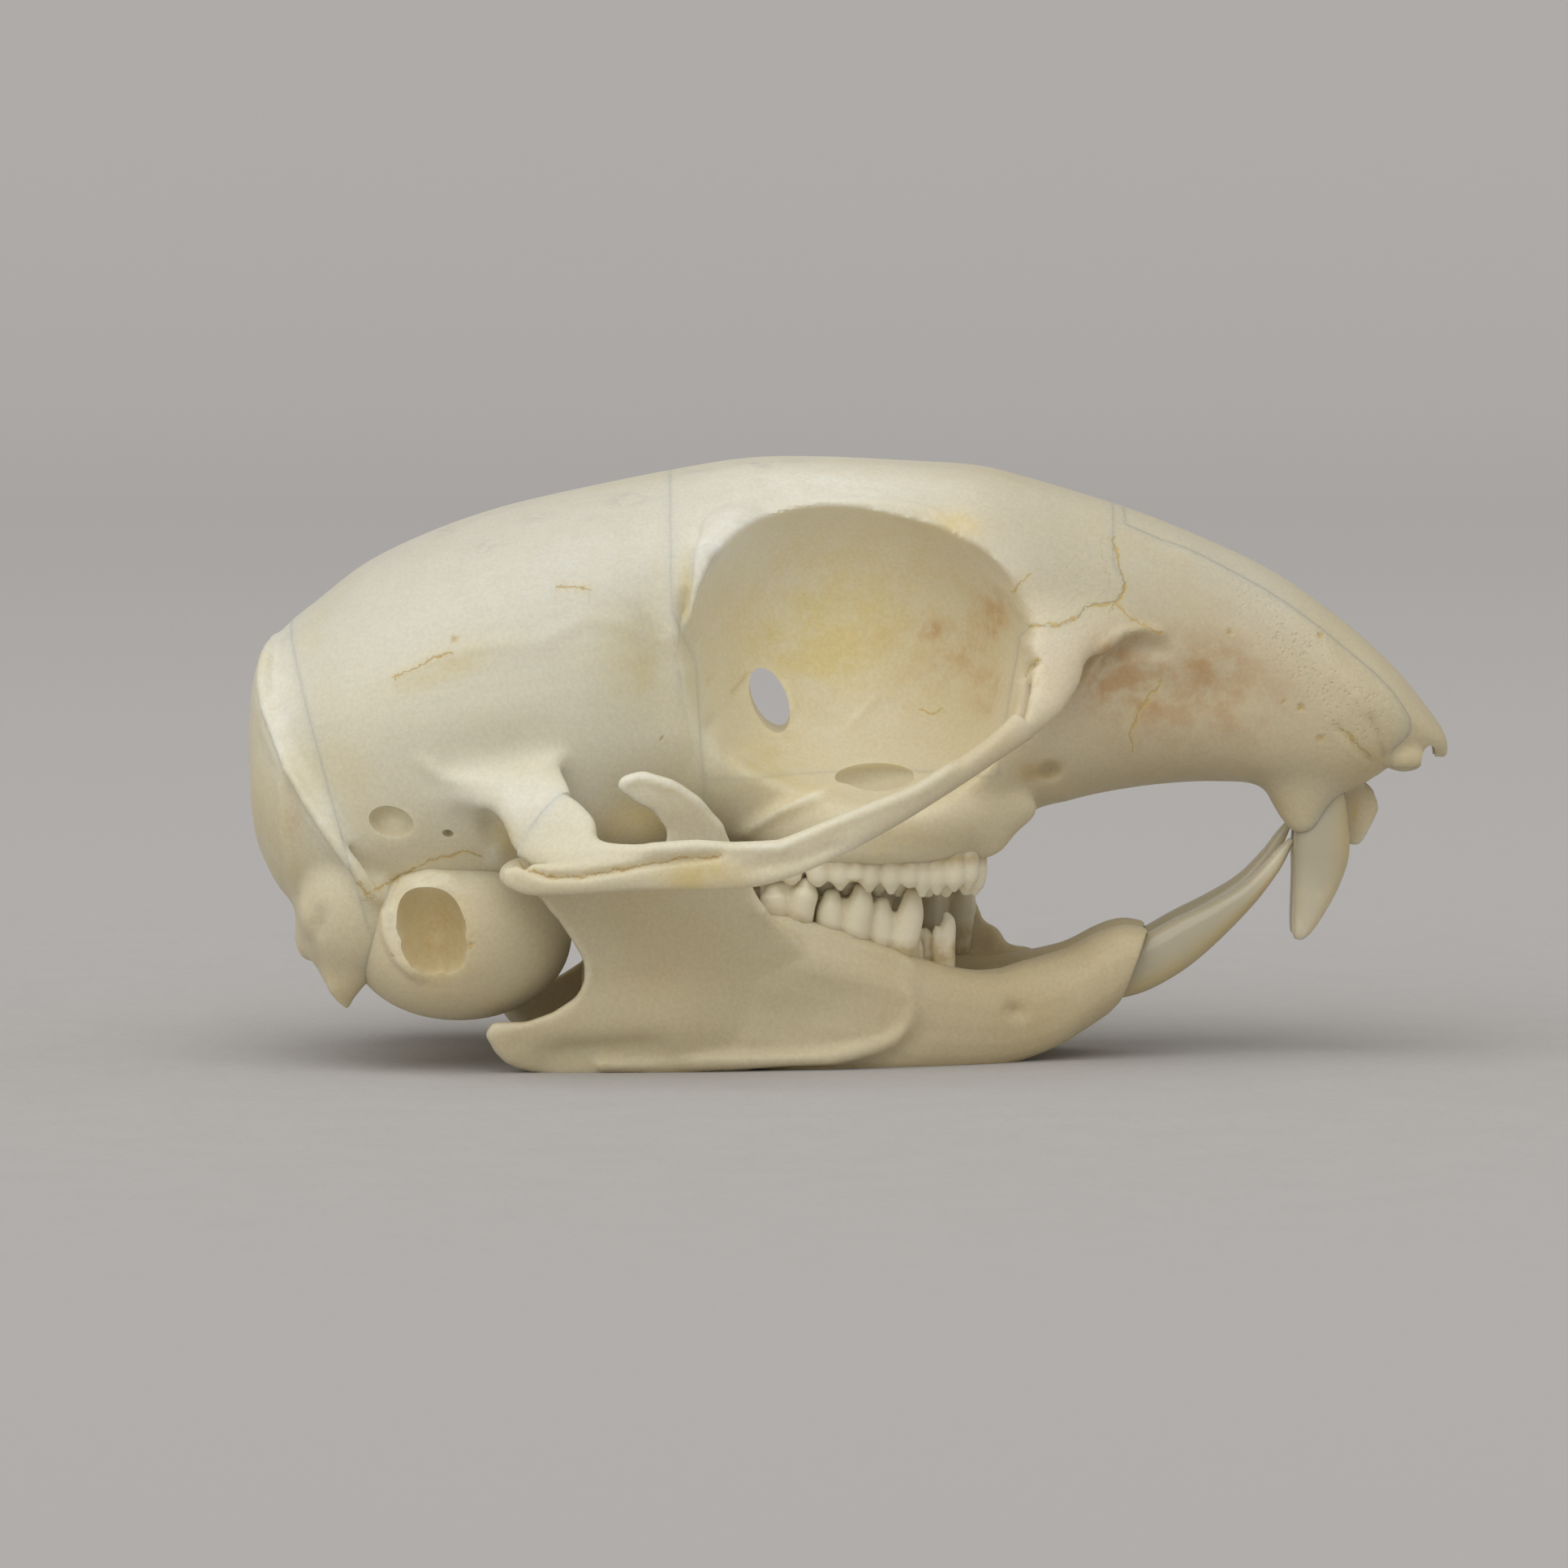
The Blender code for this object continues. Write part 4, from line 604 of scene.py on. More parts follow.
class SkullColours(bpy.types.PropertyGroup):
    bone: FloatVectorProperty(
        name="Bone", description="Cleaned bone in its full thickness",
        default=(0.72, 0.68, 0.53), size=3, min=0, max=1, subtype="COLOR")
    # Bleached bone, and also the painted highlight on crests, edges and tops
    chalk_and_highlight: FloatVectorProperty(
        name="Chalk", description="Dry, bleached bone on crests and edges",
        default=(0.82, 0.805, 0.70), size=3, min=0, max=1, subtype="COLOR")
    # Also painted as shade into the hollows of the surface
    warm: FloatVectorProperty(
        name="Thin bone", description="Thin bone that lets yellow light through",
        default=(0.68, 0.58, 0.30), size=3, min=0, max=1, subtype="COLOR")
    # Also used as painted shade in the hollow before the cheek plate
    stain: FloatVectorProperty(
        name="Stain", description="Reddish brown marrow stain",
        default=(0.52, 0.35, 0.18), size=3, min=0, max=1, subtype="COLOR")
    # Painted shade: darkens and warms the bone towards the floor
    low: FloatVectorProperty(
        name="Low bone", description="Share of the bone's colour left near the floor",
        default=(0.92, 0.85, 0.72), size=3, min=0, max=1, subtype="COLOR")
    # Painted light: the cool tint of the top light on the upper bone
    roof: FloatVectorProperty(
        name="Roof bone", description="Share of the bone's colour left on top",
        default=(0.93, 0.935, 0.975), size=3, min=0, max=1, subtype="COLOR")
    snout: FloatVectorProperty(
        name="Snout bone", description="Share of the bone's colour left towards the nose",
        default=(0.87, 0.80, 0.68), size=3, min=0, max=1, subtype="COLOR")
    # In the pinholes this colour is painted shade
    suture: FloatVectorProperty(
        name="Suture", description="Dried tissue in the sutures and pinholes",
        default=(0.58, 0.40, 0.12), size=3, min=0, max=1, subtype="COLOR")
    blister: FloatVectorProperty(
        name="Blister", description="Glassy grey blisters on the roof of the skull",
        default=(0.52, 0.52, 0.47), size=3, min=0, max=1, subtype="COLOR")
    tooth: FloatVectorProperty(
        name="Cheek tooth", description="Enamel of the cheek teeth",
        default=(0.86, 0.79, 0.60), size=3, min=0, max=1, subtype="COLOR")
    tartar: FloatVectorProperty(
        name="Tooth neck", description="Yellow and brown deposit round the necks",
        default=(0.45, 0.32, 0.11), size=3, min=0, max=1, subtype="COLOR")
    incisor: FloatVectorProperty(
        name="Incisor", description="Inner part of the incisors",
        default=(0.52, 0.47, 0.34), size=3, min=0, max=1, subtype="COLOR")
    enamel: FloatVectorProperty(
        name="Incisor enamel", description="Yellow enamel down the front of the incisors",
        default=(0.56, 0.46, 0.24), size=3, min=0, max=1, subtype="COLOR")


class SkullStudio(bpy.types.PropertyGroup):
    backdrop: FloatVectorProperty(
        name="Backdrop", description="Grey paper under and behind the skull",
        default=(0.492, 0.476, 0.465), size=3, min=0, max=1, subtype="COLOR")
    key_strength: FloatProperty(
        name="Top light", description="Strength of the wide soft light above the skull",
        default=1.6, min=0, soft_max=10)
    key_softness: FloatProperty(
        name="Top light softness", description="Angle under which the soft light is seen",
        default=math.radians(80), min=0, max=math.pi, subtype="ANGLE")
    key_side: FloatProperty(
        name="Key side", description="How far the key light leans over from the back of the head",
        default=math.radians(20), min=0, max=math.radians(80), subtype="ANGLE")
    key_tilt: FloatProperty(
        name="Top light tilt", description="Lean of the soft light towards the camera",
        default=math.radians(33), min=0, max=math.radians(80), subtype="ANGLE")
    fill: FloatProperty(
        name="Fill", description="Strength of the even light from all sides",
        default=0.5, min=0, soft_max=2)


def curve_value(table, x):
    """Smooth values at x through the (x, value) pairs of a table."""
    xs = np.array([row[0] for row in table], float)
    ys = np.array([row[1] for row in table], float)
    slopes = np.gradient(ys, xs)
    x = np.clip(x, xs[0], xs[-1])
    i = np.clip(np.searchsorted(xs, x, side="right") - 1, 0, len(xs) - 2)
    span = xs[i + 1] - xs[i]
    t = (x - xs[i]) / span
    near = (1 + 2 * t) * (1 - t) ** 2 * ys[i] + t * (1 - t) ** 2 * span * slopes[i]
    far = t * t * (3 - 2 * t) * ys[i + 1] - t * t * (1 - t) * span * slopes[i + 1]
    return near + far


def smooth_rows(rows, steps):
    """The rows with `steps` rows for each one, on a smooth curve through them."""
    data = np.array(rows, float)
    padded = np.vstack([2 * data[0] - data[1], data, 2 * data[-1] - data[-2]])
    made = []
    for i in range(1, len(data)):
        a, b, c, d = padded[i - 1], padded[i], padded[i + 1], padded[i + 2]
        for step in range(steps):
            t = step / steps
            made.append(0.5 * (2 * b + (c - a) * t
                               + (2 * a - 5 * b + 4 * c - d) * t * t
                               + (3 * b - a - 3 * c + d) * t ** 3))
    made.append(data[-1])
    return np.array(made)


def superellipse(count, upper, lower):
    """Unit section points (across, up) with their own roundness above and below."""
    points = []
    for i in range(count):
        angle = 2 * math.pi * i / count
        across, up = math.cos(angle), math.sin(angle)
        power = 2 / (upper if up >= 0 else lower)
        points.append((math.copysign(abs(across) ** power, across),
                       math.copysign(abs(up) ** power, up)))
    return points


def new_object(name, mesh_data):
    obj = bpy.data.objects.new(name, mesh_data)
    bpy.context.scene.collection.objects.link(obj)
    return obj


def object_from_bmesh(name, bm):
    bmesh.ops.recalc_face_normals(bm, faces=bm.faces[:])
    mesh = bpy.data.meshes.new(name)
    bm.to_mesh(mesh)
    bm.free()
    return new_object(name, mesh)


def skin_rings(name, rings):
    """A closed loft through rings that have the same number of points."""
    bm = bmesh.new()
    loops = [[bm.verts.new(point) for point in ring] for ring in rings]
    for first, second in zip(loops, loops[1:]):
        count = len(first)
        for i in range(count):
            j = (i + 1) % count
            bm.faces.new((first[i], first[j], second[j], second[i]))
    bm.faces.new(loops[0])
    bm.faces.new(loops[-1])
    bmesh.ops.triangulate(bm, faces=[f for f in bm.faces if len(f.verts) > 4])
    return object_from_bmesh(name, bm)


def mirrored(point, side):
    return (point[0], point[1] * side, point[2])


def ellipsoid(name, centre, radii, turn=0.0, side=1, power=2.0, segments=40, rings=24, yaw=0.0):
    """A closed ellipsoid, turned about the cross axis by `turn` degrees."""
    bm = bmesh.new()
    bmesh.ops.create_uvsphere(bm, u_segments=segments, v_segments=rings, radius=1)
    if power != 2.0:
        for vert in bm.verts:
            vert.co /= sum(abs(c) ** power for c in vert.co) ** (1 / power)
    bm.transform(Matrix.Translation(mirrored(centre, side))
                 @ Matrix.Rotation(-yaw * side, 4, "Z")
                 @ Matrix.Rotation(math.radians(turn), 4, "Y")
                 @ Matrix.Diagonal((*radii, 1)))
    return object_from_bmesh(name, bm)


def tapered_tube(name, rows, side=1, sides=16, steps=3):
    """A round bar through rows of x, y, z and radius, with domed ends."""
    rows = smooth_rows(rows, steps)
    centres = [Vector(mirrored(row[:3], side)) for row in rows]
    rings = []
    for i, centre in enumerate(centres):
        ahead = centres[min(i + 1, len(centres) - 1)]
        behind = centres[max(i - 1, 0)]
        along = (ahead - behind).normalized()
        first = along.orthogonal().normalized() if i == 0 else first
        first = (first - along * first.dot(along)).normalized()
        second = along.cross(first)
        ends = [(0, 1.0)]
        if i == 0:
            ends = [(-0.85, 0.5), (-0.5, 0.86), (0, 1.0)]
        elif i == len(centres) - 1:
            ends = [(0, 1.0), (0.5, 0.86), (0.85, 0.5)]
        for shift, share in ends:
            ring = []
            for k in range(sides):
                angle = 2 * math.pi * k / sides
                offset = first * math.cos(angle) + second * math.sin(angle)
                ring.append(centre + along * shift * rows[i][3] + offset * rows[i][3] * share)
            rings.append(ring)
    return skin_rings(name, rings)


def ribbon(name, stations, side=1, steps=6, sides=20, power=2.4):
    """A flat bar whose section reaches from a lower to an upper edge."""
    rows = smooth_rows([(*upper, *lower, thick) for upper, lower, thick in stations], steps)
    middles = (rows[:, 0:3] + rows[:, 3:6]) / 2
    runs = np.gradient(middles, axis=0)
    rings = []
    for row, middle, run in zip(rows, middles, runs):
        major = Vector((row[0:3] - row[3:6]) / 2)
        minor = Vector(run).cross(major).normalized() * (row[6] / 2)
        ring = []
        for across, up in superellipse(sides, power, power):
            point = Vector(middle) + major * up + minor * across
            ring.append(mirrored(point, side))
        rings.append(ring)
    return skin_rings(name, rings)


def prism(name, outline, low_y, high_y):
    """A side-view outline (x, z) run across the skull from low_y to high_y."""
    curve = bpy.data.curves.new(name, "CURVE")
    curve.dimensions = "2D"
    curve.fill_mode = "BOTH"
    curve.extrude = (high_y - low_y) / 2
    spline = curve.splines.new("POLY")
    spline.use_cyclic_u = True
    spline.points.add(len(outline) - 1)
    for point, (x, z) in zip(spline.points, outline):
        point.co = (x, z, 0, 1)
    drawn = new_object(name + "_outline", curve)
    drawn.matrix_world = (Matrix.Translation((0, (low_y + high_y) / 2, 0))
                          @ Matrix.Rotation(math.radians(90), 4, "X"))
    bpy.context.view_layer.update()
    graph = bpy.context.evaluated_depsgraph_get()
    mesh = bpy.data.meshes.new_from_object(drawn.evaluated_get(graph))
    mesh.transform(drawn.matrix_world)
    bpy.data.objects.remove(drawn)
    bm = bmesh.new()
    bm.from_mesh(mesh)
    bmesh.ops.remove_doubles(bm, verts=bm.verts[:], dist=1e-4)
    return object_from_bmesh(name, bm)


def block(name, point, normal, edge, depth):
    """A block that starts at the plane through `point` and runs along `normal`."""
    bm = bmesh.new()
    bmesh.ops.create_cube(bm, size=1)
    turn = Vector((0, 0, 1)).rotation_difference(Vector(normal)).to_matrix().to_4x4()
    bm.transform(Matrix.Translation(point) @ turn
                 @ Matrix.Diagonal((edge, edge, depth, 1))
                 @ Matrix.Translation((0, 0, 0.5)))
    return object_from_bmesh(name, bm)


def apply_modifiers(obj):
    graph = bpy.context.evaluated_depsgraph_get()
    mesh = bpy.data.meshes.new_from_object(obj.evaluated_get(graph))
    obj.modifiers.clear()
    obj.data = mesh
    return obj


def boolean(obj, others, operation):
    """Joins, cuts or crops obj with a collection of closed meshes, which it then removes."""
    group = bpy.data.collections.new("operands")
    for other in others:
        bpy.context.scene.collection.objects.unlink(other)
        group.objects.link(other)
    modifier = obj.modifiers.new("Boolean", "BOOLEAN")
    modifier.operation = operation
    modifier.solver = "MANIFOLD"
    modifier.operand_type = "COLLECTION"
    modifier.collection = group
    bpy.context.scene.collection.children.link(group)
    bpy.context.view_layer.update()
    apply_modifiers(obj)
    for other in list(others):
        bpy.data.objects.remove(other)
    bpy.data.collections.remove(group)
    if not obj.data.vertices:
        raise RuntimeError(f"{obj.name} is empty after {operation}")
    return obj


def fuse(name, pieces):
    body, rest = pieces[0], pieces[1:]
    body.name = name
    return boolean(body, rest, "UNION") if rest else body


def crop(obj, name, region):
    """A copy of obj, cut down to what lies inside the region."""
    return boolean(new_object(name, obj.data.copy()), [region], "INTERSECT")


def melt(obj, grid, passes):
    """Melts the joints of a fused form together on a fine grid."""
    remesh = obj.modifiers.new("Remesh", "REMESH")
    remesh.mode = "VOXEL"
    remesh.voxel_size = grid
    if passes:
        smooth = obj.modifiers.new("Smooth", "SMOOTH")
        smooth.factor = 0.5
        smooth.iterations = passes
    apply_modifiers(obj)
    return keep_largest(obj)


def points_of(obj):
    flat = np.empty(len(obj.data.vertices) * 3, np.float32)
    obj.data.vertices.foreach_get("co", flat)
    return flat.reshape(-1, 3).astype(float)


def set_points(obj, points):
    obj.data.vertices.foreach_set("co", points.astype(np.float32).ravel())
    obj.data.update()


def normals_of(obj):
    flat = np.empty(len(obj.data.vertices) * 3, np.float32)
    obj.data.vertex_normals.foreach_get("vector", flat)
    return flat.reshape(-1, 3).astype(float)


def edges_of(obj):
    flat = np.empty(len(obj.data.edges) * 2, np.int32)
    obj.data.edges.foreach_get("vertices", flat)
    return flat.reshape(-1, 2)


def keep_largest(obj):
    """Leaves only the largest closed surface of the mesh."""
    edges = edges_of(obj)
    label = np.arange(len(obj.data.vertices))
    while True:
        low = np.minimum(label[edges[:, 0]], label[edges[:, 1]])
        before = label.copy()
        np.minimum.at(label, edges[:, 0], low)
        np.minimum.at(label, edges[:, 1], low)
        label = label[label]
        if (label == before).all():
            break
    main = np.bincount(label).argmax()
    loose = np.flatnonzero(label != main)
    if len(loose):
        bm = bmesh.new()
        bm.from_mesh(obj.data)
        bm.verts.ensure_lookup_table()
        bmesh.ops.delete(bm, geom=[bm.verts[i] for i in loose], context="VERTS")
        bm.to_mesh(obj.data)
        bm.free()
    return obj


def picture_places(points):
    """Where points, taken to the near side, lie in the picture, in its pixels."""
    aim = np.array(CAMERA_AIM)
    x = points[:, 0] - aim[0]
    y = -np.abs(points[:, 1])
    z = points[:, 2] - aim[2]
    rise, run = math.sin(CAMERA_RISE), math.cos(CAMERA_RISE)
    share = CAMERA_DISTANCE / (CAMERA_DISTANCE + y * run - z * rise) / PICTURE_SCALE
    return np.column_stack([PICTURE / 2 + x * share, PICTURE / 2 - (y * rise + z * run) * share])


def line_distance(places, line):
    """Distance in millimetres from a line in the picture, with its side and place along it."""
    best = np.full(len(places), 1e9)
    signed = np.zeros(len(places))
    run_at = np.zeros(len(places))
    start_run = 0.0
    for start, end in zip(line, line[1:]):
        start, end = np.array(start, float), np.array(end, float)
        run = end - start
        length = math.hypot(*run)
        rel = places - start
        t = rel @ run / length ** 2
        held = np.clip(t, 0, 1)
        gap = np.hypot(*(rel - held[:, None] * run).T)
        nearer = gap < best
        best[nearer] = gap[nearer]
        cross = (rel[:, 0] * run[1] - rel[:, 1] * run[0]) / length
        signed[nearer] = np.copysign(gap, cross)[nearer]
        run_at[nearer] = start_run + t[nearer] * length
        start_run += length
    to_end = np.minimum(run_at, start_run - run_at)
    return best * PICTURE_SCALE, signed * PICTURE_SCALE, to_end * PICTURE_SCALE


def near_line(places, depth, line, reach, depths):
    """Indices of the points that a line with this reach can touch."""
    spread = 2.6 * reach / PICTURE_SCALE
    low, high = np.min(line, axis=0) - spread, np.max(line, axis=0) + spread
    inside = ((places > low) & (places < high)).all(axis=1)
    return np.flatnonzero(inside & (depth >= depths[0]) & (depth <= depths[1]))


def carve(obj, strokes, share):
    """Raises ridges and sinks hollows along lines that are given in the picture."""
    points, normals = points_of(obj), normals_of(obj)
    places, depth = picture_places(points), np.abs(points[:, 1])
    push = np.zeros(len(points))
    for name, line, reach, lift, depths in strokes:
        touched = near_line(places, depth, line, reach, depths)
        gap, signed, to_end = line_distance(places[touched], line)
        fade = np.clip(0.35 + to_end / (3 * reach), 0, 1)
        push[touched] += lift * share * fade * np.exp(-(gap / reach) ** 2)
    set_points(obj, points + normals * push[:, None])
    return obj


def mean_of_neighbours(values, ends, others, valence):
    """The mean of each point's neighbours, along the edges from ends to others."""
    count = len(values)
    sums = [np.bincount(ends, values[others, k], count) for k in range(3)]
    return np.column_stack(sums) / valence[:, None]


def soften(obj, patches):
    """Smooths the surface in soft-edged patches that are given in the picture."""
    points, edges = points_of(obj), edges_of(obj)
    share = patch_mask(picture_places(points), np.abs(points[:, 1]), patches)
    share[share < 0.02] = 0
    edges = edges[(share[edges] > 0).any(axis=1)]
    used, ends = np.unique(edges, return_inverse=True)
    ends = ends.reshape(-1, 2)
    here = np.concatenate([ends[:, 0], ends[:, 1]])
    there = np.concatenate([ends[:, 1], ends[:, 0]])
    valence = np.bincount(here, minlength=len(used))
    work, weight = points[used], 0.6 * share[used][:, None]
    for _ in range(SOFTENING_ROUNDS):
        work += weight * (mean_of_neighbours(work, here, there, valence) - work)
    points[used] = work
    set_points(obj, points)
    return obj


def store(obj, name, values):
    layer = obj.data.attributes.new(name, "FLOAT", "POINT")
    layer.data.foreach_set("value", values.astype(np.float32))


def patch_mask(places, depth, patches):
    """Soft-edged ellipses in the picture, added up to at most 1."""
    total = np.zeros(len(places))
    for x, y, half_x, half_y, turn, strength, depths in patches:
        angle = math.radians(turn)
        dx, dy = places[:, 0] - x, places[:, 1] - y
        along = (dx * math.cos(angle) + dy * math.sin(angle)) / half_x
        across = (dy * math.cos(angle) - dx * math.sin(angle)) / half_y
        mask = strength * np.exp(-(along ** 2 + across ** 2))
        mask[(depth < depths[0]) | (depth > depths[1])] = 0
        total += mask
    return np.clip(total, 0, 1)


def near_crisp_edge(obj, here, there, rounds):
    """Which points lie within so many steps of a crisp edge, as where a bone is parted."""
    mesh = obj.data
    faces = np.empty(len(mesh.polygons) * 3)
    mesh.polygons.foreach_get("normal", faces)
    corners = np.empty(len(mesh.loops), int)
    mesh.loops.foreach_get("vertex_index", corners)
    totals = np.empty(len(mesh.polygons), int)
    mesh.polygons.foreach_get("loop_total", totals)
    of_face = np.repeat(np.arange(len(totals)), totals)
    match = (faces.reshape(-1, 3)[of_face] * normals_of(obj)[corners]).sum(axis=1)
    crisp = np.zeros(len(mesh.vertices), bool)
    crisp[corners[match < CRISP_MATCH]] = True
    for _ in range(rounds):
        grown = crisp.copy()
        grown[here[crisp[there]]] = True
        crisp = grown
    return crisp


def edge_mask(obj, rounds=14):
    """How far each point stands out of its surroundings, in millimetres."""
    points, normals, edges = points_of(obj), normals_of(obj), edges_of(obj)
    here = np.concatenate([edges[:, 0], edges[:, 1]])
    there = np.concatenate([edges[:, 1], edges[:, 0]])
    valence = np.maximum(np.bincount(here, minlength=len(points)), 1)
    smooth = points.copy()
    for _ in range(rounds):
        smooth = (smooth + mean_of_neighbours(smooth, here, there, valence)) / 2
    out = ((points - smooth) * normals).sum(axis=1)
    out[near_crisp_edge(obj, here, there, rounds)] = 0
    return out


def paint(obj):
    """Stores where the bone is thin, chalky, stained, porous, sutured or pierced, and where painted
    light goes: highlight on crests and tops, shade in the hollow before the cheek plate and in the
    pinholes, and a glow on thin walls.
    """
    points = points_of(obj)
    places, depth = picture_places(points), np.abs(points[:, 1])
    store(obj, "warm", patch_mask(places, depth, WARM_PATCHES))
    # marrow stain, and painted shade in the hollow before the cheek plate
    store(obj, "stain", patch_mask(places, depth, STAIN_AND_SHADE_PATCHES))
    # chalky bone and painted highlight
    store(obj, "chalk_and_highlight", patch_mask(places, depth, CHALK_AND_HIGHLIGHT_PATCHES))
    store(obj, "porous", patch_mask(places, depth, POROUS_PATCHES))
    # painted glow, an emission that stands in for light through thin bone
    store(obj, "painted_glow", patch_mask(places, depth, PAINTED_GLOW_PATCHES))
    blister = patch_mask(places, depth, BLISTER_PATCHES)
    blister[normals_of(obj)[:, 2] < 0.3] = 0
    store(obj, "blister", blister)
    store(obj, "edge", edge_mask(obj))
    width = np.zeros(len(points))
    signed_all = np.full(len(points), 1.0)
    best = np.full(len(points), 1e9)
    for line, half, depths in SUTURES:
        touched = near_line(places, depth, line, 0.25, depths)
        gap, signed, to_end = line_distance(places[touched], line)
        use = (gap < best[touched]) & (to_end > 0) & (gap < 0.5)
        chosen = touched[use]
        best[chosen] = gap[use]
        signed_all[chosen] = signed[use]
        width[chosen] = half
    store(obj, "suture_side", signed_all)
    store(obj, "suture_half", width)
    # specks, and pinholes painted dark as their shade
    speck_and_pinhole_shade = np.zeros(len(points))
    for x, y, radius in SPECKS_AND_PINHOLE_SHADE:
        gap = np.hypot(places[:, 0] - x, places[:, 1] - y) * PICTURE_SCALE
        speck_and_pinhole_shade = np.maximum(speck_and_pinhole_shade, np.clip(1.5 - gap / radius, 0, 1))
    store(obj, "speck_and_pinhole_shade", speck_and_pinhole_shade)




def finish_piece(obj, material, slot, *nodes):
    """Scales a piece to metres, gives it its finish and hands it to the frame."""
    obj.data.transform(Matrix.Scale(MM, 4))
    obj.data.materials.clear()
    obj.data.materials.append(material)
    obj.data.shade_smooth()
    obj.data.set_sharp_from_angle(angle=SHARP_ANGLE)
    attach(obj, BODY)
    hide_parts(*nodes)


def add_node(tree, kind, inputs=None, **settings):
    """A shader node with settings, whose inputs take values or other nodes' outputs."""
    node = tree.nodes.new(kind)
    for key, value in settings.items():
        setattr(node, key, value)
    for key, value in (inputs or {}).items():
        socket = node.inputs[key]
        if isinstance(value, bpy.types.NodeSocket):
            tree.links.new(value, socket)
        else:
            socket.default_value = value
    return node


def math_node(tree, operation, first, second=None, clamp=False):
    inputs = {0: first}
    if second is not None:
        inputs[1] = second
    return add_node(tree, "ShaderNodeMath", inputs, operation=operation,
                    use_clamp=clamp).outputs[0]


def mix_colour(tree, share, first, second, blend="MIX"):
    def full(value):
        return value if isinstance(value, bpy.types.NodeSocket) else (*value, 1)
    node = add_node(tree, "ShaderNodeMix", data_type="RGBA", blend_type=blend)
    for index, value in ((0, share), (6, full(first)), (7, full(second))):
        socket = node.inputs[index]
        if isinstance(value, bpy.types.NodeSocket):
            tree.links.new(value, socket)
        else:
            socket.default_value = value
    return node.outputs[2]


def ramp_value(tree, value, low, high, to_low=0.0, to_high=1.0):
    return add_node(tree, "ShaderNodeMapRange",
                    {"Value": value, "From Min": low, "From Max": high,
                     "To Min": to_low, "To Max": to_high}, interpolation_type="SMOOTHSTEP"
                    ).outputs[0]


def noise(tree, coordinates, scale, detail=3.0, rough=0.5):
    return add_node(tree, "ShaderNodeTexNoise",
                    {"Vector": coordinates, "Scale": scale, "Detail": detail,
                     "Roughness": rough}).outputs[0]


def attribute(tree, name):
    return add_node(tree, "ShaderNodeAttribute", attribute_name=name).outputs["Fac"]


def millimetres(tree):
    """Object coordinates in millimetres."""
    place = add_node(tree, "ShaderNodeTexCoord").outputs["Object"]
    return add_node(tree, "ShaderNodeVectorMath", {0: place, "Scale": 1 / MM},
                    operation="SCALE").outputs[0]


def new_group(name, inputs, outputs):
    """An empty shader node group with named sockets, and its two end nodes."""
    tree = bpy.data.node_groups.new(name, "ShaderNodeTree")
    for socket, kind in inputs:
        tree.interface.new_socket(socket, in_out="INPUT", socket_type=kind)
    for socket, kind in outputs:
        tree.interface.new_socket(socket, in_out="OUTPUT", socket_type=kind)
    return tree, tree.nodes.new("NodeGroupInput"), tree.nodes.new("NodeGroupOutput")


def grain_group():
    """Cloudy variation and fine grain of dry bone."""
    tree, start, end = new_group(
        "Bone grain", [("Place", "NodeSocketVector"), ("Scale", "NodeSocketFloat")],
        [("Cloud", "NodeSocketFloat"), ("Mottle", "NodeSocketFloat"), ("Grain", "NodeSocketFloat")])
    place = add_node(tree, "ShaderNodeVectorMath",
                     {0: start.outputs["Place"], "Scale": start.outputs["Scale"]},
                     operation="SCALE").outputs[0]
    tree.links.new(noise(tree, place, 0.22, 3), end.inputs["Cloud"])
    tree.links.new(noise(tree, place, 1.1, 4, 0.6), end.inputs["Mottle"])
    tree.links.new(noise(tree, place, 7.0, 4, 0.65), end.inputs["Grain"])
    return tree


def suture_group():
    """A wandering line where the bones have grown together."""
    tree, start, end = new_group(
        "Suture line",
        [("Place", "NodeSocketVector"), ("Side", "NodeSocketFloat"),
         ("Half Width", "NodeSocketFloat"), ("Wander", "NodeSocketFloat")],
        [("Line", "NodeSocketFloat"), ("Halo", "NodeSocketFloat")])
    wave = math_node(tree, "SUBTRACT", noise(tree, start.outputs["Place"], 2.4, 4, 0.7), 0.5)
    wave = math_node(tree, "MULTIPLY", wave, start.outputs["Wander"])
    gap = math_node(tree, "ABSOLUTE", math_node(tree, "ADD", start.outputs["Side"], wave))
    half = math_node(tree, "MAXIMUM", start.outputs["Half Width"], 0.0001)
    there = ramp_value(tree, start.outputs["Half Width"], 0.008, 0.02)
    thick = math_node(tree, "MULTIPLY", half,
                      ramp_value(tree, noise(tree, start.outputs["Place"], 2.1, 2), 0.3, 0.7, 0.2, 1.6))
    line = math_node(tree, "SUBTRACT", 1.0, math_node(tree, "DIVIDE", gap, thick, True), True)
    halo = math_node(tree, "SUBTRACT", 1.0, math_node(tree, "DIVIDE", gap, 0.32, True), True)
    tree.links.new(math_node(tree, "MULTIPLY", line, there), end.inputs["Line"])
    tree.links.new(math_node(tree, "MULTIPLY", halo, there), end.inputs["Halo"])
    return tree


def shared_group(name, make):
    return bpy.data.node_groups.get(name) or make()


def new_material(name, roughness, subsurface, radius):
    material = bpy.data.materials.new(name)
    material.use_nodes = True
    shader = material.node_tree.nodes["Principled BSDF"]
    shader.inputs["Roughness"].default_value = roughness
    shader.inputs["Subsurface Weight"].default_value = subsurface
    shader.inputs["Subsurface Radius"].default_value = radius
    shader.inputs["Subsurface Scale"].default_value = MM
    shader.inputs["IOR"].default_value = 1.45
    return material, material.node_tree, shader


# Strength of the painted glow, an emission that stands in for light through thin bone
PAINTED_GLOW_STRENGTH = 0.26         # light that thin bone lets through, of the bone's own colour


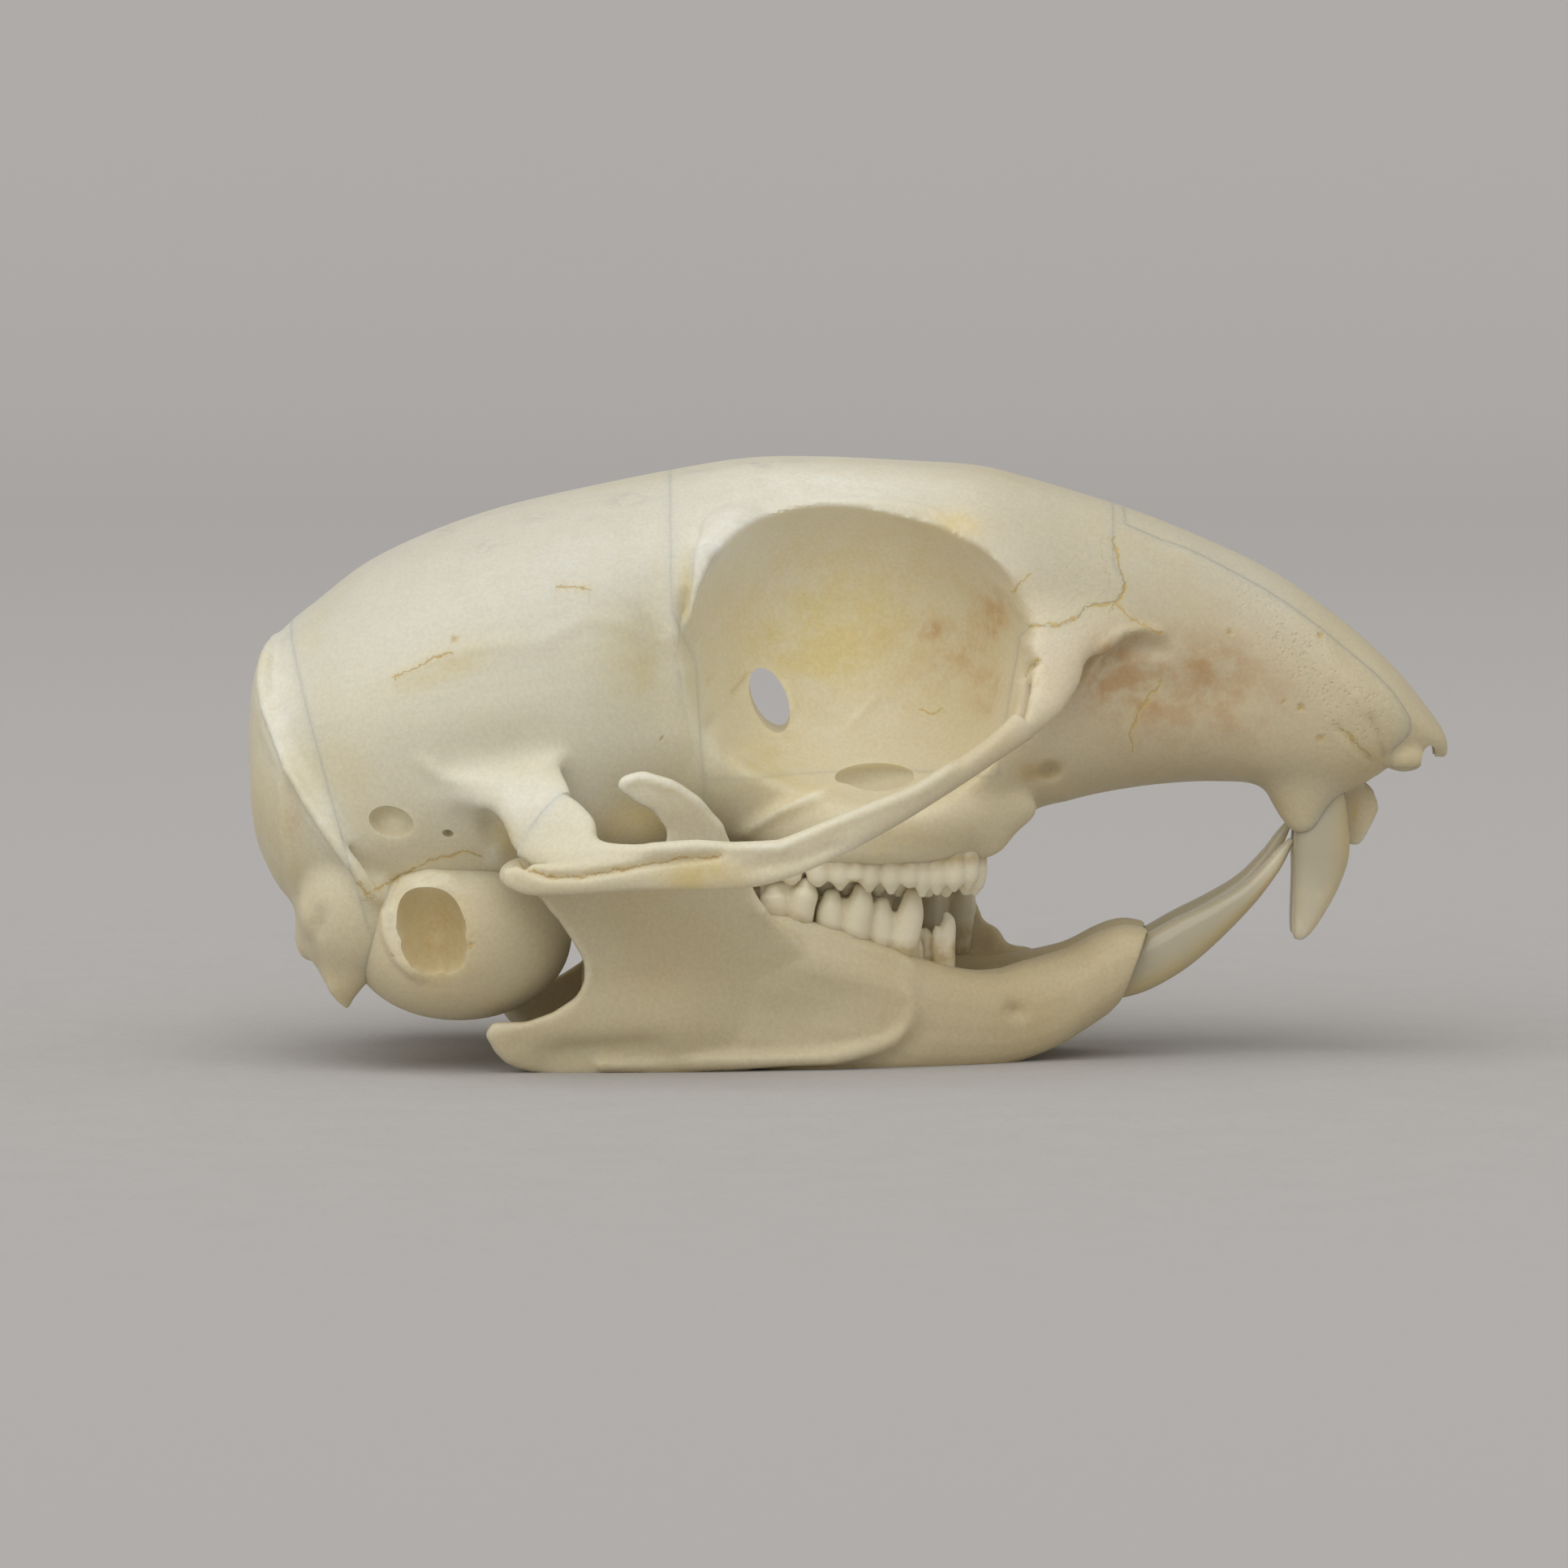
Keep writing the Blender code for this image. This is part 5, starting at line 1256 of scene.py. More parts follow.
def bone_material(colours):
    """Cleaned bone: creamy where thick, yellow where thin, chalky on its edges, with painted light:
    highlight on crests and tops, shade in hollows, near the floor and in pinholes, a cool tint on top
    and a glow on thin walls.
    """
    material, tree, shader = new_material("Cleaned bone", 0.5, 0.35, (0.9, 0.7, 0.4))
    place = millimetres(tree)
    grain = add_node(tree, "ShaderNodeGroup",
                     node_tree=shared_group("Bone grain", grain_group))
    tree.links.new(place, grain.inputs["Place"])
    grain.inputs["Scale"].default_value = 1.0
    cloud, mottle, fine = (grain.outputs[k] for k in ("Cloud", "Mottle", "Grain"))
    edge = attribute(tree, "edge")
    blotchy = ramp_value(tree, mottle, 0.3, 0.7, 0.55, 1.25)
    warm = math_node(tree, "MULTIPLY", attribute(tree, "warm"), blotchy)
    warm = math_node(tree, "ADD", warm, ramp_value(tree, cloud, 0.45, 0.8, 0.0, 0.28))
    # Painted shade: hollows of the surface darken towards this yellow
    warm = math_node(tree, "ADD", warm, ramp_value(tree, edge, -0.01, -0.09, 0.0, 0.35), True)
    # Chalky bone with painted highlight: lighter on crests, convex edges and the top of the skull
    chalk_and_highlight = math_node(tree, "MULTIPLY", attribute(tree, "chalk_and_highlight"), blotchy)
    chalk_and_highlight = math_node(tree, "ADD", chalk_and_highlight, ramp_value(tree, edge, 0.012, 0.1, 0.0, 0.75), True)
    # Marrow stain, and painted shade in the hollow before the cheek plate
    stain = math_node(tree, "MULTIPLY", attribute(tree, "stain"),
                      ramp_value(tree, mottle, 0.35, 0.65, 0.25, 1.1), True)
    suture = add_node(tree, "ShaderNodeGroup",
                      node_tree=shared_group("Suture line", suture_group))
    tree.links.new(place, suture.inputs["Place"])
    tree.links.new(attribute(tree, "suture_side"), suture.inputs["Side"])
    tree.links.new(attribute(tree, "suture_half"), suture.inputs["Half Width"])
    suture.inputs["Wander"].default_value = 0.5
    # Specks, and pinholes painted dark as their shade
    speck_and_pinhole_shade = attribute(tree, "speck_and_pinhole_shade")
    blister = math_node(tree, "MULTIPLY", attribute(tree, "blister"),
                        ramp_value(tree, noise(tree, place, 2.6, 3, 0.6), 0.42, 0.6), True)
    colour = mix_colour(tree, warm, colours.bone, colours.warm)
    colour = mix_colour(tree, chalk_and_highlight, colour, colours.chalk_and_highlight)
    along = add_node(tree, "ShaderNodeSeparateXYZ", {"Vector": place}).outputs
    # Painted shade: darker and warmer towards the floor
    colour = mix_colour(tree, ramp_value(tree, along["Z"], 2.0, 14.0, 1.0, 0.0),
                        colour, colours.low, "MULTIPLY")
    # Painted light: cool tint of the top light on the upper bone
    colour = mix_colour(tree, ramp_value(tree, along["Z"], 12.5, 17.5, 0.0, 1.0),
                        colour, colours.roof, "MULTIPLY")
    front = math_node(tree, "MULTIPLY", ramp_value(tree, along["X"], -2.0, 6.5, 0.0, 1.0),
                      ramp_value(tree, along["Z"], 6.0, 12.0, 0.35, 1.0))
    front = math_node(tree, "MULTIPLY", front, ramp_value(tree, along["Z"], 13.5, 17.5, 1.0, 0.6))
    colour = mix_colour(tree, front, colour, colours.snout, "MULTIPLY")
    colour = mix_colour(tree, stain, colour, colours.stain)
    colour = mix_colour(tree, math_node(tree, "MULTIPLY", suture.outputs["Halo"], 0.3),
                        colour, colours.warm)
    colour = mix_colour(tree, math_node(tree, "MULTIPLY", suture.outputs["Line"], 0.85),
                        colour, colours.suture)
    colour = mix_colour(tree, math_node(tree, "MULTIPLY", speck_and_pinhole_shade, 0.7), colour, colours.suture)
    colour = mix_colour(tree, math_node(tree, "MULTIPLY", blister, 0.6), colour, colours.blister)
    tone = ramp_value(tree, fine, 0.25, 0.75, 0.94, 1.05)
    tone_colour = add_node(tree, "ShaderNodeCombineColor",
                           {"Red": tone, "Green": tone, "Blue": tone}).outputs[0]
    colour = mix_colour(tree, 1.0, colour, tone_colour, "MULTIPLY")
    tree.links.new(colour, shader.inputs["Base Color"])
    # Painted glow: emission on thin walls and round holes that lifts their shade, standing in for light
    # through the bone
    painted_glow = attribute(tree, "painted_glow")
    painted_glow_colour = add_node(tree, "ShaderNodeCombineColor",
                           {"Red": painted_glow, "Green": painted_glow, "Blue": painted_glow}).outputs[0]
    tree.links.new(mix_colour(tree, 1.0, colour, painted_glow_colour, "MULTIPLY"),
                   shader.inputs["Emission Color"])
    shader.inputs["Emission Strength"].default_value = PAINTED_GLOW_STRENGTH
    rough = math_node(tree, "ADD", ramp_value(tree, mottle, 0.2, 0.8, 0.40, 0.56),
                      math_node(tree, "MULTIPLY", chalk_and_highlight, 0.12))
    rough = math_node(tree, "SUBTRACT", rough, math_node(tree, "MULTIPLY", blister, 0.2))
    tree.links.new(rough, shader.inputs["Roughness"])
    pores = add_node(tree, "ShaderNodeTexVoronoi", {"Vector": place, "Scale": 5.5},
                     feature="F1").outputs[0]
    pores = math_node(tree, "MULTIPLY", ramp_value(tree, pores, 0.05, 0.4, -1.0, 0.0),
                      attribute(tree, "porous"))
    height = math_node(tree, "ADD", math_node(tree, "MULTIPLY", fine, 0.22), pores)
    height = math_node(tree, "SUBTRACT", height,
                       math_node(tree, "MULTIPLY", suture.outputs["Line"], 0.8))
    height = math_node(tree, "SUBTRACT", height, math_node(tree, "MULTIPLY", speck_and_pinhole_shade, 1.8))
    height = math_node(tree, "ADD", height, math_node(tree, "MULTIPLY", mottle, 0.5))
    bump = add_node(tree, "ShaderNodeBump", {"Strength": 0.6, "Distance": 0.05 * MM,
                                             "Height": height})
    tree.links.new(bump.outputs[0], shader.inputs["Normal"])
    return material


def cheek_tooth_material(colours):
    """Milky enamel with a yellow deposit in the folds and round the neck."""
    material, tree, shader = new_material("Cheek tooth enamel", 0.3, 0.4, (0.6, 0.5, 0.35))
    place = millimetres(tree)
    mottle = noise(tree, place, 1.6, 4, 0.6)
    neck = math_node(tree, "MULTIPLY", attribute(tree, "neck"),
                     ramp_value(tree, mottle, 0.3, 0.65, 0.25, 1.1), True)
    fold = ramp_value(tree, attribute(tree, "edge"), -0.01, -0.06, 0.0, 0.5)
    colour = mix_colour(tree, fold, colours.tooth, colours.warm)
    colour = mix_colour(tree, neck, colour, colours.tartar)
    tree.links.new(colour, shader.inputs["Base Color"])
    tree.links.new(ramp_value(tree, mottle, 0.2, 0.8, 0.2, 0.38), shader.inputs["Roughness"])
    bump = add_node(tree, "ShaderNodeBump", {"Strength": 0.4, "Distance": 0.03 * MM,
                                             "Height": noise(tree, place, 5.0, 3)})
    tree.links.new(bump.outputs[0], shader.inputs["Normal"])
    return material


def incisor_material(colours):
    """Glassy incisors, yellow down the outer curve, with fine lengthwise lines."""
    material, tree, shader = new_material("Incisor enamel", 0.22, 0.5, (0.8, 0.6, 0.35))
    place = millimetres(tree)
    mottle = noise(tree, place, 0.9, 4, 0.6)
    front = math_node(tree, "MULTIPLY", attribute(tree, "enamel"),
                      ramp_value(tree, mottle, 0.3, 0.7, 0.7, 1.05), True)
    colour = mix_colour(tree, front, colours.incisor, colours.enamel)
    pale = math_node(tree, "MULTIPLY", attribute(tree, "tip"),
                     ramp_value(tree, mottle, 0.3, 0.7, 0.5, 0.9), True)
    colour = mix_colour(tree, pale, colour, colours.tooth)
    tree.links.new(colour, shader.inputs["Base Color"])
    tree.links.new(ramp_value(tree, mottle, 0.2, 0.8, 0.14, 0.3), shader.inputs["Roughness"])
    shader.inputs["Coat Weight"].default_value = 0.35
    shader.inputs["Coat Roughness"].default_value = 0.08
    bump = add_node(tree, "ShaderNodeBump", {"Strength": 0.25, "Distance": 0.03 * MM,
                                             "Height": noise(tree, place, 3.0, 3)})
    tree.links.new(bump.outputs[0], shader.inputs["Normal"])
    return material


def backdrop_material(studio):
    """Grey paper with faint fibres and clouds, and painted shade that darkens it away from the skull.
    """
    material = bpy.data.materials.new("Grey paper")
    material.use_nodes = True
    tree = material.node_tree
    shader = tree.nodes["Principled BSDF"]
    shader.inputs["Specular IOR Level"].default_value = 0.2
    place = millimetres(tree)
    far = add_node(tree, "ShaderNodeVectorMath", {0: place}, operation="LENGTH").outputs["Value"]
    near = ramp_value(tree, far, 20.0, 110.0, 1.0, 0.0)
    clouds = math_node(tree, "SUBTRACT", noise(tree, place, 0.35, 3, 0.6), 0.5)
    fibres = math_node(tree, "SUBTRACT", noise(tree, place, 2.2, 4, 0.7), 0.5)
    spots = math_node(tree, "ADD", math_node(tree, "MULTIPLY", clouds, 0.09),
                      math_node(tree, "MULTIPLY", fibres, 0.14))
    # Painted shade: the paper darkens with distance from the skull
    tone = math_node(tree, "ADD", math_node(tree, "MULTIPLY", spots, near),
                     ramp_value(tree, far, 60.0, 450.0, 1.0, 0.89))
    tone_colour = add_node(tree, "ShaderNodeCombineColor",
                           {"Red": tone, "Green": tone, "Blue": tone}).outputs[0]
    colour = mix_colour(tree, 1.0, studio.backdrop, tone_colour, "MULTIPLY")
    tree.links.new(colour, shader.inputs["Base Color"])
    shader.inputs["Roughness"].default_value = 0.9
    relief = math_node(tree, "MULTIPLY", noise(tree, place, 1.8, 5, 0.7), near)
    bump = add_node(tree, "ShaderNodeBump", {"Strength": 0.5, "Distance": 0.08 * MM,
                                             "Height": relief})
    tree.links.new(bump.outputs[0], shader.inputs["Normal"])
    return material


def shared_material(name, make, settings):
    return bpy.data.materials.get(name) or make(settings)


def bone_finish(scene):
    return shared_material("Cleaned bone", bone_material, scene.skull_colours)


def root_block(name, cut, side, sign, gap):
    """The block on one side of an arch's cut, half a gap away from it."""
    point, normal = (Vector(mirrored(v, side)) for v in cut)
    normal = normal.normalized() * sign
    return block(name, point - normal * (gap / 2), normal, ROOT_CUTTER, ROOT_CUTTER)


def cranium_core():
    rings = []
    for x, top, bottom, half, level, upper, lower in smooth_rows(CORE, 4):
        ring = []
        for across, up in superellipse(64, upper, lower):
            z = level + up * ((top - level) if up >= 0 else (level - bottom))
            ring.append((x, across * half, z))
        rings.append(ring)
    return skin_rings("cranium_core", rings)


def cranium_forms():
    """Every closed form that the cranium is fused from."""
    forms = [cranium_core(), ribbon("incisor_septum", INCISOR_SEPTUM)]
    for side in SIDE_NAME:
        forms += [ellipsoid(name, centre, radii, turn, side)
                  for name, centre, radii, turn in SWELLINGS]
        forms += [
            ribbon("arch_front_root", ARCH[:ARCH_ON_FACE], side),
            ribbon("arch_rear_root", REAR_ROOT[:REAR_ROOT_ON_BRAINCASE], side),
            ribbon("root_fan", ROOT_FAN, side),
            ribbon("postorbital_spine", POSTORBITAL_SPINE, side),
            ribbon("pterygoid_plate", PTERYGOID_PLATE, side),
            tapered_tube("paroccipital_process", PAROCCIPITAL_PROCESS, side),
            tapered_tube("neck_crest", [(*point, CREST_RADIUS) for point in NUCHAL_CREST], side),
        ]
    return forms


def cranium_hollows():
    """Every bowl and opening that is melted in with the cranium."""
    forms = []
    for side in SIDE_NAME:
        forms += [ellipsoid(name, centre, radii, turn, side)
                  for name, centre, radii, turn in HOLLOWS]
        forms.append(ellipsoid("orbit", ORBIT_CENTRE, ORBIT_RADII, ORBIT_LEAN, side,
                               ORBIT_POWER, 96, 64))
    forms += [ellipsoid("cord_hole", *CORD_HOLE), ellipsoid("inner_nares", *INNER_NARES)]
    (x0, z0), (x1, z1) = NOSTRIL_BACK, NOSTRIL_FRONT
    slope = math.degrees(math.atan2(z1 - z0, x1 - x0))
    half_length = math.hypot(x1 - x0, z1 - z0) / 2
    forms.append(ellipsoid("nostril", ((x0 + x1) / 2, 0, (z0 + z1) / 2),
                           (half_length, *NOSTRIL_RADIUS), -slope))
    return forms


def bulla_body(side, grow=0.0):
    """The egg of the ear capsule, `grow` larger all round."""
    centre, radii = BULLA
    return ellipsoid("bulla_body", centre, [radius + grow for radius in radii], 0, side,
                     BULLA_POWER, 96, 64, BULLA_YAW)


def incisor(name, rows, ends_y, side, sides=24, grow=0.0):
    """A curved front tooth along its centre line, `grow` larger all round."""
    rows = smooth_rows(rows, 5)
    along = np.gradient(rows[:, 0:2], axis=0)
    lift = LEFT_TIP_LIFT if side == LEFT and rows[0][1] < rows[-1][1] else 0
    rings = []
    for i, (x, z, depth, width) in enumerate(rows):
        share = i / (len(rows) - 1)
        run = Vector((along[i][0], along[i][1])).normalized()
        z += lift * share ** 2
        y = (ends_y[0] + (ends_y[1] - ends_y[0]) * share) * side
        ring = []
        for across, up in superellipse(sides, 2.5, 2.3):
            reach = up * (depth + grow)
            ring.append((x - run.y * reach, y + across * (width + grow), z + run.x * reach))
        rings.append(ring)
    return skin_rings(name, rings)


def region(name, outline):
    return prism(name, outline, -20, 20)


def part_cranium(cranium, seam):
    """Cuts the cranium into its bones along the seams."""
    half = seam / 2
    (x0, z0), (x1, z1) = OCCIPUT_SEAM
    low, split = FRONT_SEAM[:2]
    occiput = crop(cranium, "occiput_bone", region("behind", [
        (x0 - half, 30), (x0 - half, z0), (x1 - half, z1), (x1 - half, -5), (-30, -5), (-30, 30)]))
    braincase = crop(cranium, "braincase_bone", region("middle", [
        (x0 + half, 30), (x0 + half, z0), (x1 + half, z1), (x1 + half, -5)]
        + [(x - half, z) for x, z in FRONT_SEAM]))
    forehead = crop(cranium, "forehead_bone", region("above", [
        (x + half, z) for x, z in reversed(FRONT_SEAM[2:])] + [(split[0] + half, split[1] + half)]
        + [(x - half, z + half) for x, z in FACE_SEAM]))
    face = crop(cranium, "upper_jaw_bone", region("below", [
        (low[0] + half, low[1]), (split[0] + half, split[1] - half)]
        + [(x + half, z - half) for x, z in FACE_SEAM] + [(40, 30), (40, -5)]))
    return {"occiput": occiput, "braincase": braincase, "forehead": forehead, "upper_jaw": face}


def nose_outline(shift):
    """Side view of the nose bones, drawn back by `shift` from what they touch."""
    xs = np.linspace(NOSE_SEAM_BACK + shift, NOSE_HOOD_X + shift, 16)
    tops = [(row[0], row[1]) for row in CORE]
    under = [(float(x), float(curve_value(tops, x)) - NOSE_SEAM_DEPTH + shift) for x in xs]
    return under + [(NOSE_HOOD_X + shift, NOSE_HOOD_Z + shift), (24, NOSE_HOOD_Z + shift),
                    (24, 30), (NOSE_SEAM_BACK + shift, 30)]


def part_nose(face, seam):
    """Lifts the two nose bones out of the upper jaw."""
    half = seam / 2
    bones = {}
    for side, name in SIDE_NAME.items():
        low, high = sorted((half * side, (NOSE_HALF_WIDTH - half) * side))
        bones["nasal_bone_" + name] = crop(face, f"nasal_bone_{name}_bone", prism(
            "nose_region", nose_outline(half), low, high))
    wide = NOSE_HALF_WIDTH + half
    boolean(face, [prism("nose_room", nose_outline(-half), -wide, wide)], "DIFFERENCE")
    return bones


class SKULL_OT_cranium(bpy.types.Operator):
    """Builds the cranium and parts it into its bones"""

    bl_idname = "skull.cranium"
    bl_label = "Cranium"

    def execute(self, context):
        shape = context.scene.skull_shape
        grid, seam = shape.grid / MM, shape.seam / MM
        cranium = fuse("cranium", cranium_forms())
        boolean(cranium, cranium_hollows(), "DIFFERENCE")
        melt(cranium, grid, shape.melt)
        soften(cranium, CRANIUM_SOFTENING)
        carve(cranium, CRANIUM_CARVING, shape.carving)
        cutters = [ellipsoid("optic_hole", *OPTIC_HOLE), ellipsoid("nose_notch", *NOSE_NOTCH)]
        for side in SIDE_NAME:
            cutters += [ellipsoid(name, centre, radii, turn, side)
                        for name, centre, radii, turn in HOLES]
            cutters += [root_block("front_trim", ARCH_FRONT_CUT, side, 1, seam),
                        root_block("rear_trim", REAR_ROOT_CUT, side, 1, seam),
                        bulla_body(side, seam),
                        incisor("socket", UPPER_INCISOR, UPPER_INCISOR_Y, side, grow=SOCKET_SLACK)]
        boolean(cranium, cutters, "DIFFERENCE")
        bones = part_cranium(cranium, seam)
        bpy.data.objects.remove(cranium)
        bones.update(part_nose(bones["upper_jaw"], seam))
        for node, bone in bones.items():
            keep_largest(bone)
            paint(bone)
            finish_piece(bone, bone_finish(context.scene), "bone", node)
        return {"FINISHED"}


class SKULL_OT_ear_capsules(bpy.types.Operator):
    """Builds the two ear capsules with their broken ear openings"""

    bl_idname = "skull.ear_capsules"
    bl_label = "Ear capsules"

    def execute(self, context):
        shape = context.scene.skull_shape
        for side, side_name in SIDE_NAME.items():
            x, y, z = mirrored(EAR_CENTRE, side)
            half_width, half_height = EAR_HOLE
            rim = ellipsoid("ear_rim", (x, y - 1.3 * side, z),
                            (half_width + EAR_RIM, 1.75, half_height + EAR_RIM))
            boolean(rim, [block("rim_face", (x, y, z), (0, side, 0), 9, 4)], "DIFFERENCE")
            capsule = fuse("ear_capsule", [bulla_body(side), rim])
            melt(capsule, shape.grid / MM, shape.melt)
            carve(capsule, BULLA_CARVING, shape.carving)
            hole = ellipsoid("ear_hole", (x, y, z), (half_width, EAR_DEPTH, half_height),
                             power=2.5, segments=72, rings=40)
            points = points_of(hole)
            angle = np.arctan2(points[:, 2] - z, points[:, 0] - x)
            ragged = sum(np.sin(angle * n + n * n) / math.sqrt(n) for n in (5, 9, 14, 23))
            share = 1 + EAR_RAGGED * ragged * (points[:, 2] < z + 0.4) / 2
            points[:, 0] = x + (points[:, 0] - x) * share + (z - points[:, 2]) * EAR_SLANT
            points[:, 2] = z + (points[:, 2] - z) * share
            set_points(hole, points)
            boolean(capsule, [hole, block("ear_floor", (0, 0, 0), (0, 0, -1), 80, 5)], "DIFFERENCE")
            keep_largest(capsule)
            capsule.name = f"ear_capsule_{side_name}_bone"
            paint(capsule)
            finish_piece(capsule, bone_finish(context.scene), "bone", "ear_capsule_" + side_name)
        return {"FINISHED"}


class SKULL_OT_cheek_arches(bpy.types.Operator):
    """Builds the two free cheek arches"""

    bl_idname = "skull.cheek_arches"
    bl_label = "Cheek arches"

    def execute(self, context):
        shape = context.scene.skull_shape
        seam = shape.seam / MM
        for side, side_name in SIDE_NAME.items():
            arch = fuse("cheek_arch", [ribbon("jugal", ARCH[ARCH_FREE:], side),
                                       ribbon("root_tongue", REAR_ROOT[REAR_ROOT_FREE:], side)])
            melt(arch, 0.7 * shape.grid / MM, shape.melt)
            carve(arch, ARCH_CARVING, shape.carving)
            boolean(arch, [root_block("front_trim", ARCH_FRONT_CUT, side, -1, seam),
                           root_block("rear_trim", REAR_ROOT_CUT, side, -1, seam)], "DIFFERENCE")
            keep_largest(arch)
            arch.name = f"cheek_arch_{side_name}_bone"
            paint(arch)
            finish_piece(arch, bone_finish(context.scene), "bone", "cheek_arch_" + side_name)
        return {"FINISHED"}


def jaw_forms(side, grid):
    """The closed forms that a lower jaw is fused from."""
    half = JAW_PLATE_THICKNESS / 2
    plate = melt(prism("jaw_plate", JAW_PLATE, -half, half), grid, 0)
    points = points_of(plate)
    spread = curve_value(JAW_SPREAD, points[:, 2]) * curve_value(JAW_SPREAD_ALONG, points[:, 0])
    points[:, 1] = (points[:, 1] + spread) * side
    set_points(plate, points)
    if side < 0:
        plate.data.flip_normals()
    forms = [ribbon("jaw_body", JAW_BODY, side), plate,
             ellipsoid("condyle", *CONDYLE, 0, side),
             tapered_tube("muscle_ridge", [(*p, MUSCLE_RIDGE_RADIUS) for p in MUSCLE_RIDGE], side)]
    if side == LEFT:
        forms.append(ribbon("socket_wall", LEFT_WALL, side))
    return forms


class SKULL_OT_lower_jaws(bpy.types.Operator):
    """Builds the two halves of the lower jaw"""

    bl_idname = "skull.lower_jaws"
    bl_label = "Lower jaws"

    def execute(self, context):
        shape = context.scene.skull_shape
        grid, seam = shape.grid / MM, shape.seam / MM
        for side, side_name in SIDE_NAME.items():
            jaw = fuse("lower_jaw", jaw_forms(side, grid))
            if side == LEFT:
                x, z = LEFT_HOOK_END
                boolean(jaw, [block("hook_end", (x, 7, z), (-1, 0, -0.35), 12, 9)], "DIFFERENCE")
            melt(jaw, 0.85 * grid, shape.melt)
            carve(jaw, JAW_CARVING, shape.carving)
            centre, radii, turn = MENTAL_HOLE
            boolean(jaw, [
                ellipsoid("mental_hole", centre, radii, turn, side),
                incisor("socket", LOWER_INCISOR, LOWER_INCISOR_Y, side, grow=SOCKET_SLACK),
                bulla_body(side, seam),
                block("symphysis", (9, seam / 2 * side, 3), (0, -side, 0), 30, 4),
                block("floor", (0, 0, 0), (0, 0, -1), 80, 5)], "DIFFERENCE")
            keep_largest(jaw)
            jaw.name = f"lower_jaw_{side_name}_bone"
            paint(jaw)
            finish_piece(jaw, bone_finish(context.scene), "bone", "lower_jaw_" + side_name)
        return {"FINISHED"}


def tooth_block(name, back, front, y, width, levels, side):
    """The body of a cheek tooth through (height, size) levels, as a rounded block."""
    rings = []
    for z, scale in levels:
        ring = []
        for across, up in superellipse(28, 2.7, 2.7):
            ring.append(mirrored(((back + front) / 2 + up * (front - back) / 2 * scale,
                                  y + across * width / 2 * scale, z), side))
        rings.append(ring)
    return skin_rings(name, rings)


def upper_tooth(side, back, front, y, width, neck, cusps):
    """An upper cheek tooth: scalloped outer cusps and blunt inner ones."""
    crown = neck - 0.6
    outer, inner = y + width * 0.34, y - width * 0.26
    forms = [tooth_block("crown", back, front, y - 0.12, width * 0.9,
                         [(neck + TOOTH_ROOT, 0.7), (neck, 0.9), (crown, 0.98), (crown - 0.2, 0.8)],
                         side)]
    base, point = CUSP_RADIUS
    for x, tip in cusps:
        forms.append(tapered_tube("cusp", [
            (x, outer - 0.1, neck + 0.5, base * 0.8), (x, outer, neck - 0.15, base),
            (x, outer + 0.02, crown - 0.1, base * 0.9),
            (x, outer + 0.02, (crown + tip) / 2, base * 0.62),
            (x, outer, tip + point, point)], side))
    for share in (0.28, 0.7):
        x = back + (front - back) * share
        forms.append(tapered_tube("inner_cusp", [
            (x, inner, neck, 0.45), (x, inner, crown, 0.45), (x, inner, crown - 0.45, 0.34),
            (x, inner, crown - 0.6, 0.2)], side))
    return forms


def lower_tooth(side, back, front, y, width, neck, cusps):
    """A lower cheek tooth: tall rounded columns that lean forwards."""
    crown = neck + 1.15
    outer, inner = y + width * 0.3, y - width * 0.3
    forms = [tooth_block("crown", back, front, y - 0.08, width * 0.86,
                         [(neck - TOOTH_ROOT, 0.7), (neck, 0.9), (crown, 0.94), (crown + 0.15, 0.8)],
                         side)]
    base, point = COLUMN_RADIUS
    for x, tip, foot in cusps:
        for row_y, drop in ((outer, 0.0), (inner, 0.1)):
            top = tip - point * 0.85 - drop
            forms.append(tapered_tube("column", [
                (foot, row_y - 0.05, neck - 0.5, base * 0.9),
                (foot + (x - foot) * 0.35, row_y, neck + 0.4, base),
                (foot + (x - foot) * 0.8, row_y, (neck + top) / 2 + 0.3, base * 0.96),
                (x, row_y, top, point)], side))
    return forms


class SKULL_OT_cheek_teeth(bpy.types.Operator):
    """Builds the four rows of cheek teeth"""

    bl_idname = "skull.cheek_teeth"
    bl_label = "Cheek teeth"

    def execute(self, context):
        grid = context.scene.skull_shape.tooth_grid / MM
        for side, side_name in SIDE_NAME.items():
            upper = [form for row in UPPER_TEETH for form in upper_tooth(side, *row)]
            lower = [form for row in LOWER_TEETH for form in lower_tooth(side, *row)]
            if side == LEFT:
                lower += lower_tooth(side, *LEFT_PREMOLAR)
            else:
                lower += [tapered_tube("premolar_stump", spike, side) for spike in PREMOLAR_SPIKES]
            for forms, name, node, rows in (
                    (upper, "upper_cheek_teeth_", "upper_jaw", UPPER_TEETH),
                    (lower, "lower_cheek_teeth_", "lower_jaw_" + side_name, LOWER_TEETH)):
                row = fuse(name + side_name, forms)
                remesh = row.modifiers.new("Remesh", "REMESH")
                remesh.mode = "VOXEL"
                remesh.voxel_size = grid
                smooth = row.modifiers.new("Smooth", "SMOOTH")
                smooth.factor = 0.5
                smooth.iterations = 4
                apply_modifiers(row)
                store(row, "edge", edge_mask(row))
                points = points_of(row)
                levels = [((back + front) / 2, neck) for back, front, y, width, neck, cusps in rows]
                neck_z = curve_value(levels, points[:, 0])
                sign = 1 if name.startswith("upper") else -1
                store(row, "neck", np.clip(1 - (neck_z - points[:, 2]) * sign / 0.4, 0, 1) * 0.7)
                material = shared_material("Cheek tooth enamel", cheek_tooth_material,
                                           context.scene.skull_colours)
                finish_piece(row, material, "tooth", node)
        return {"FINISHED"}


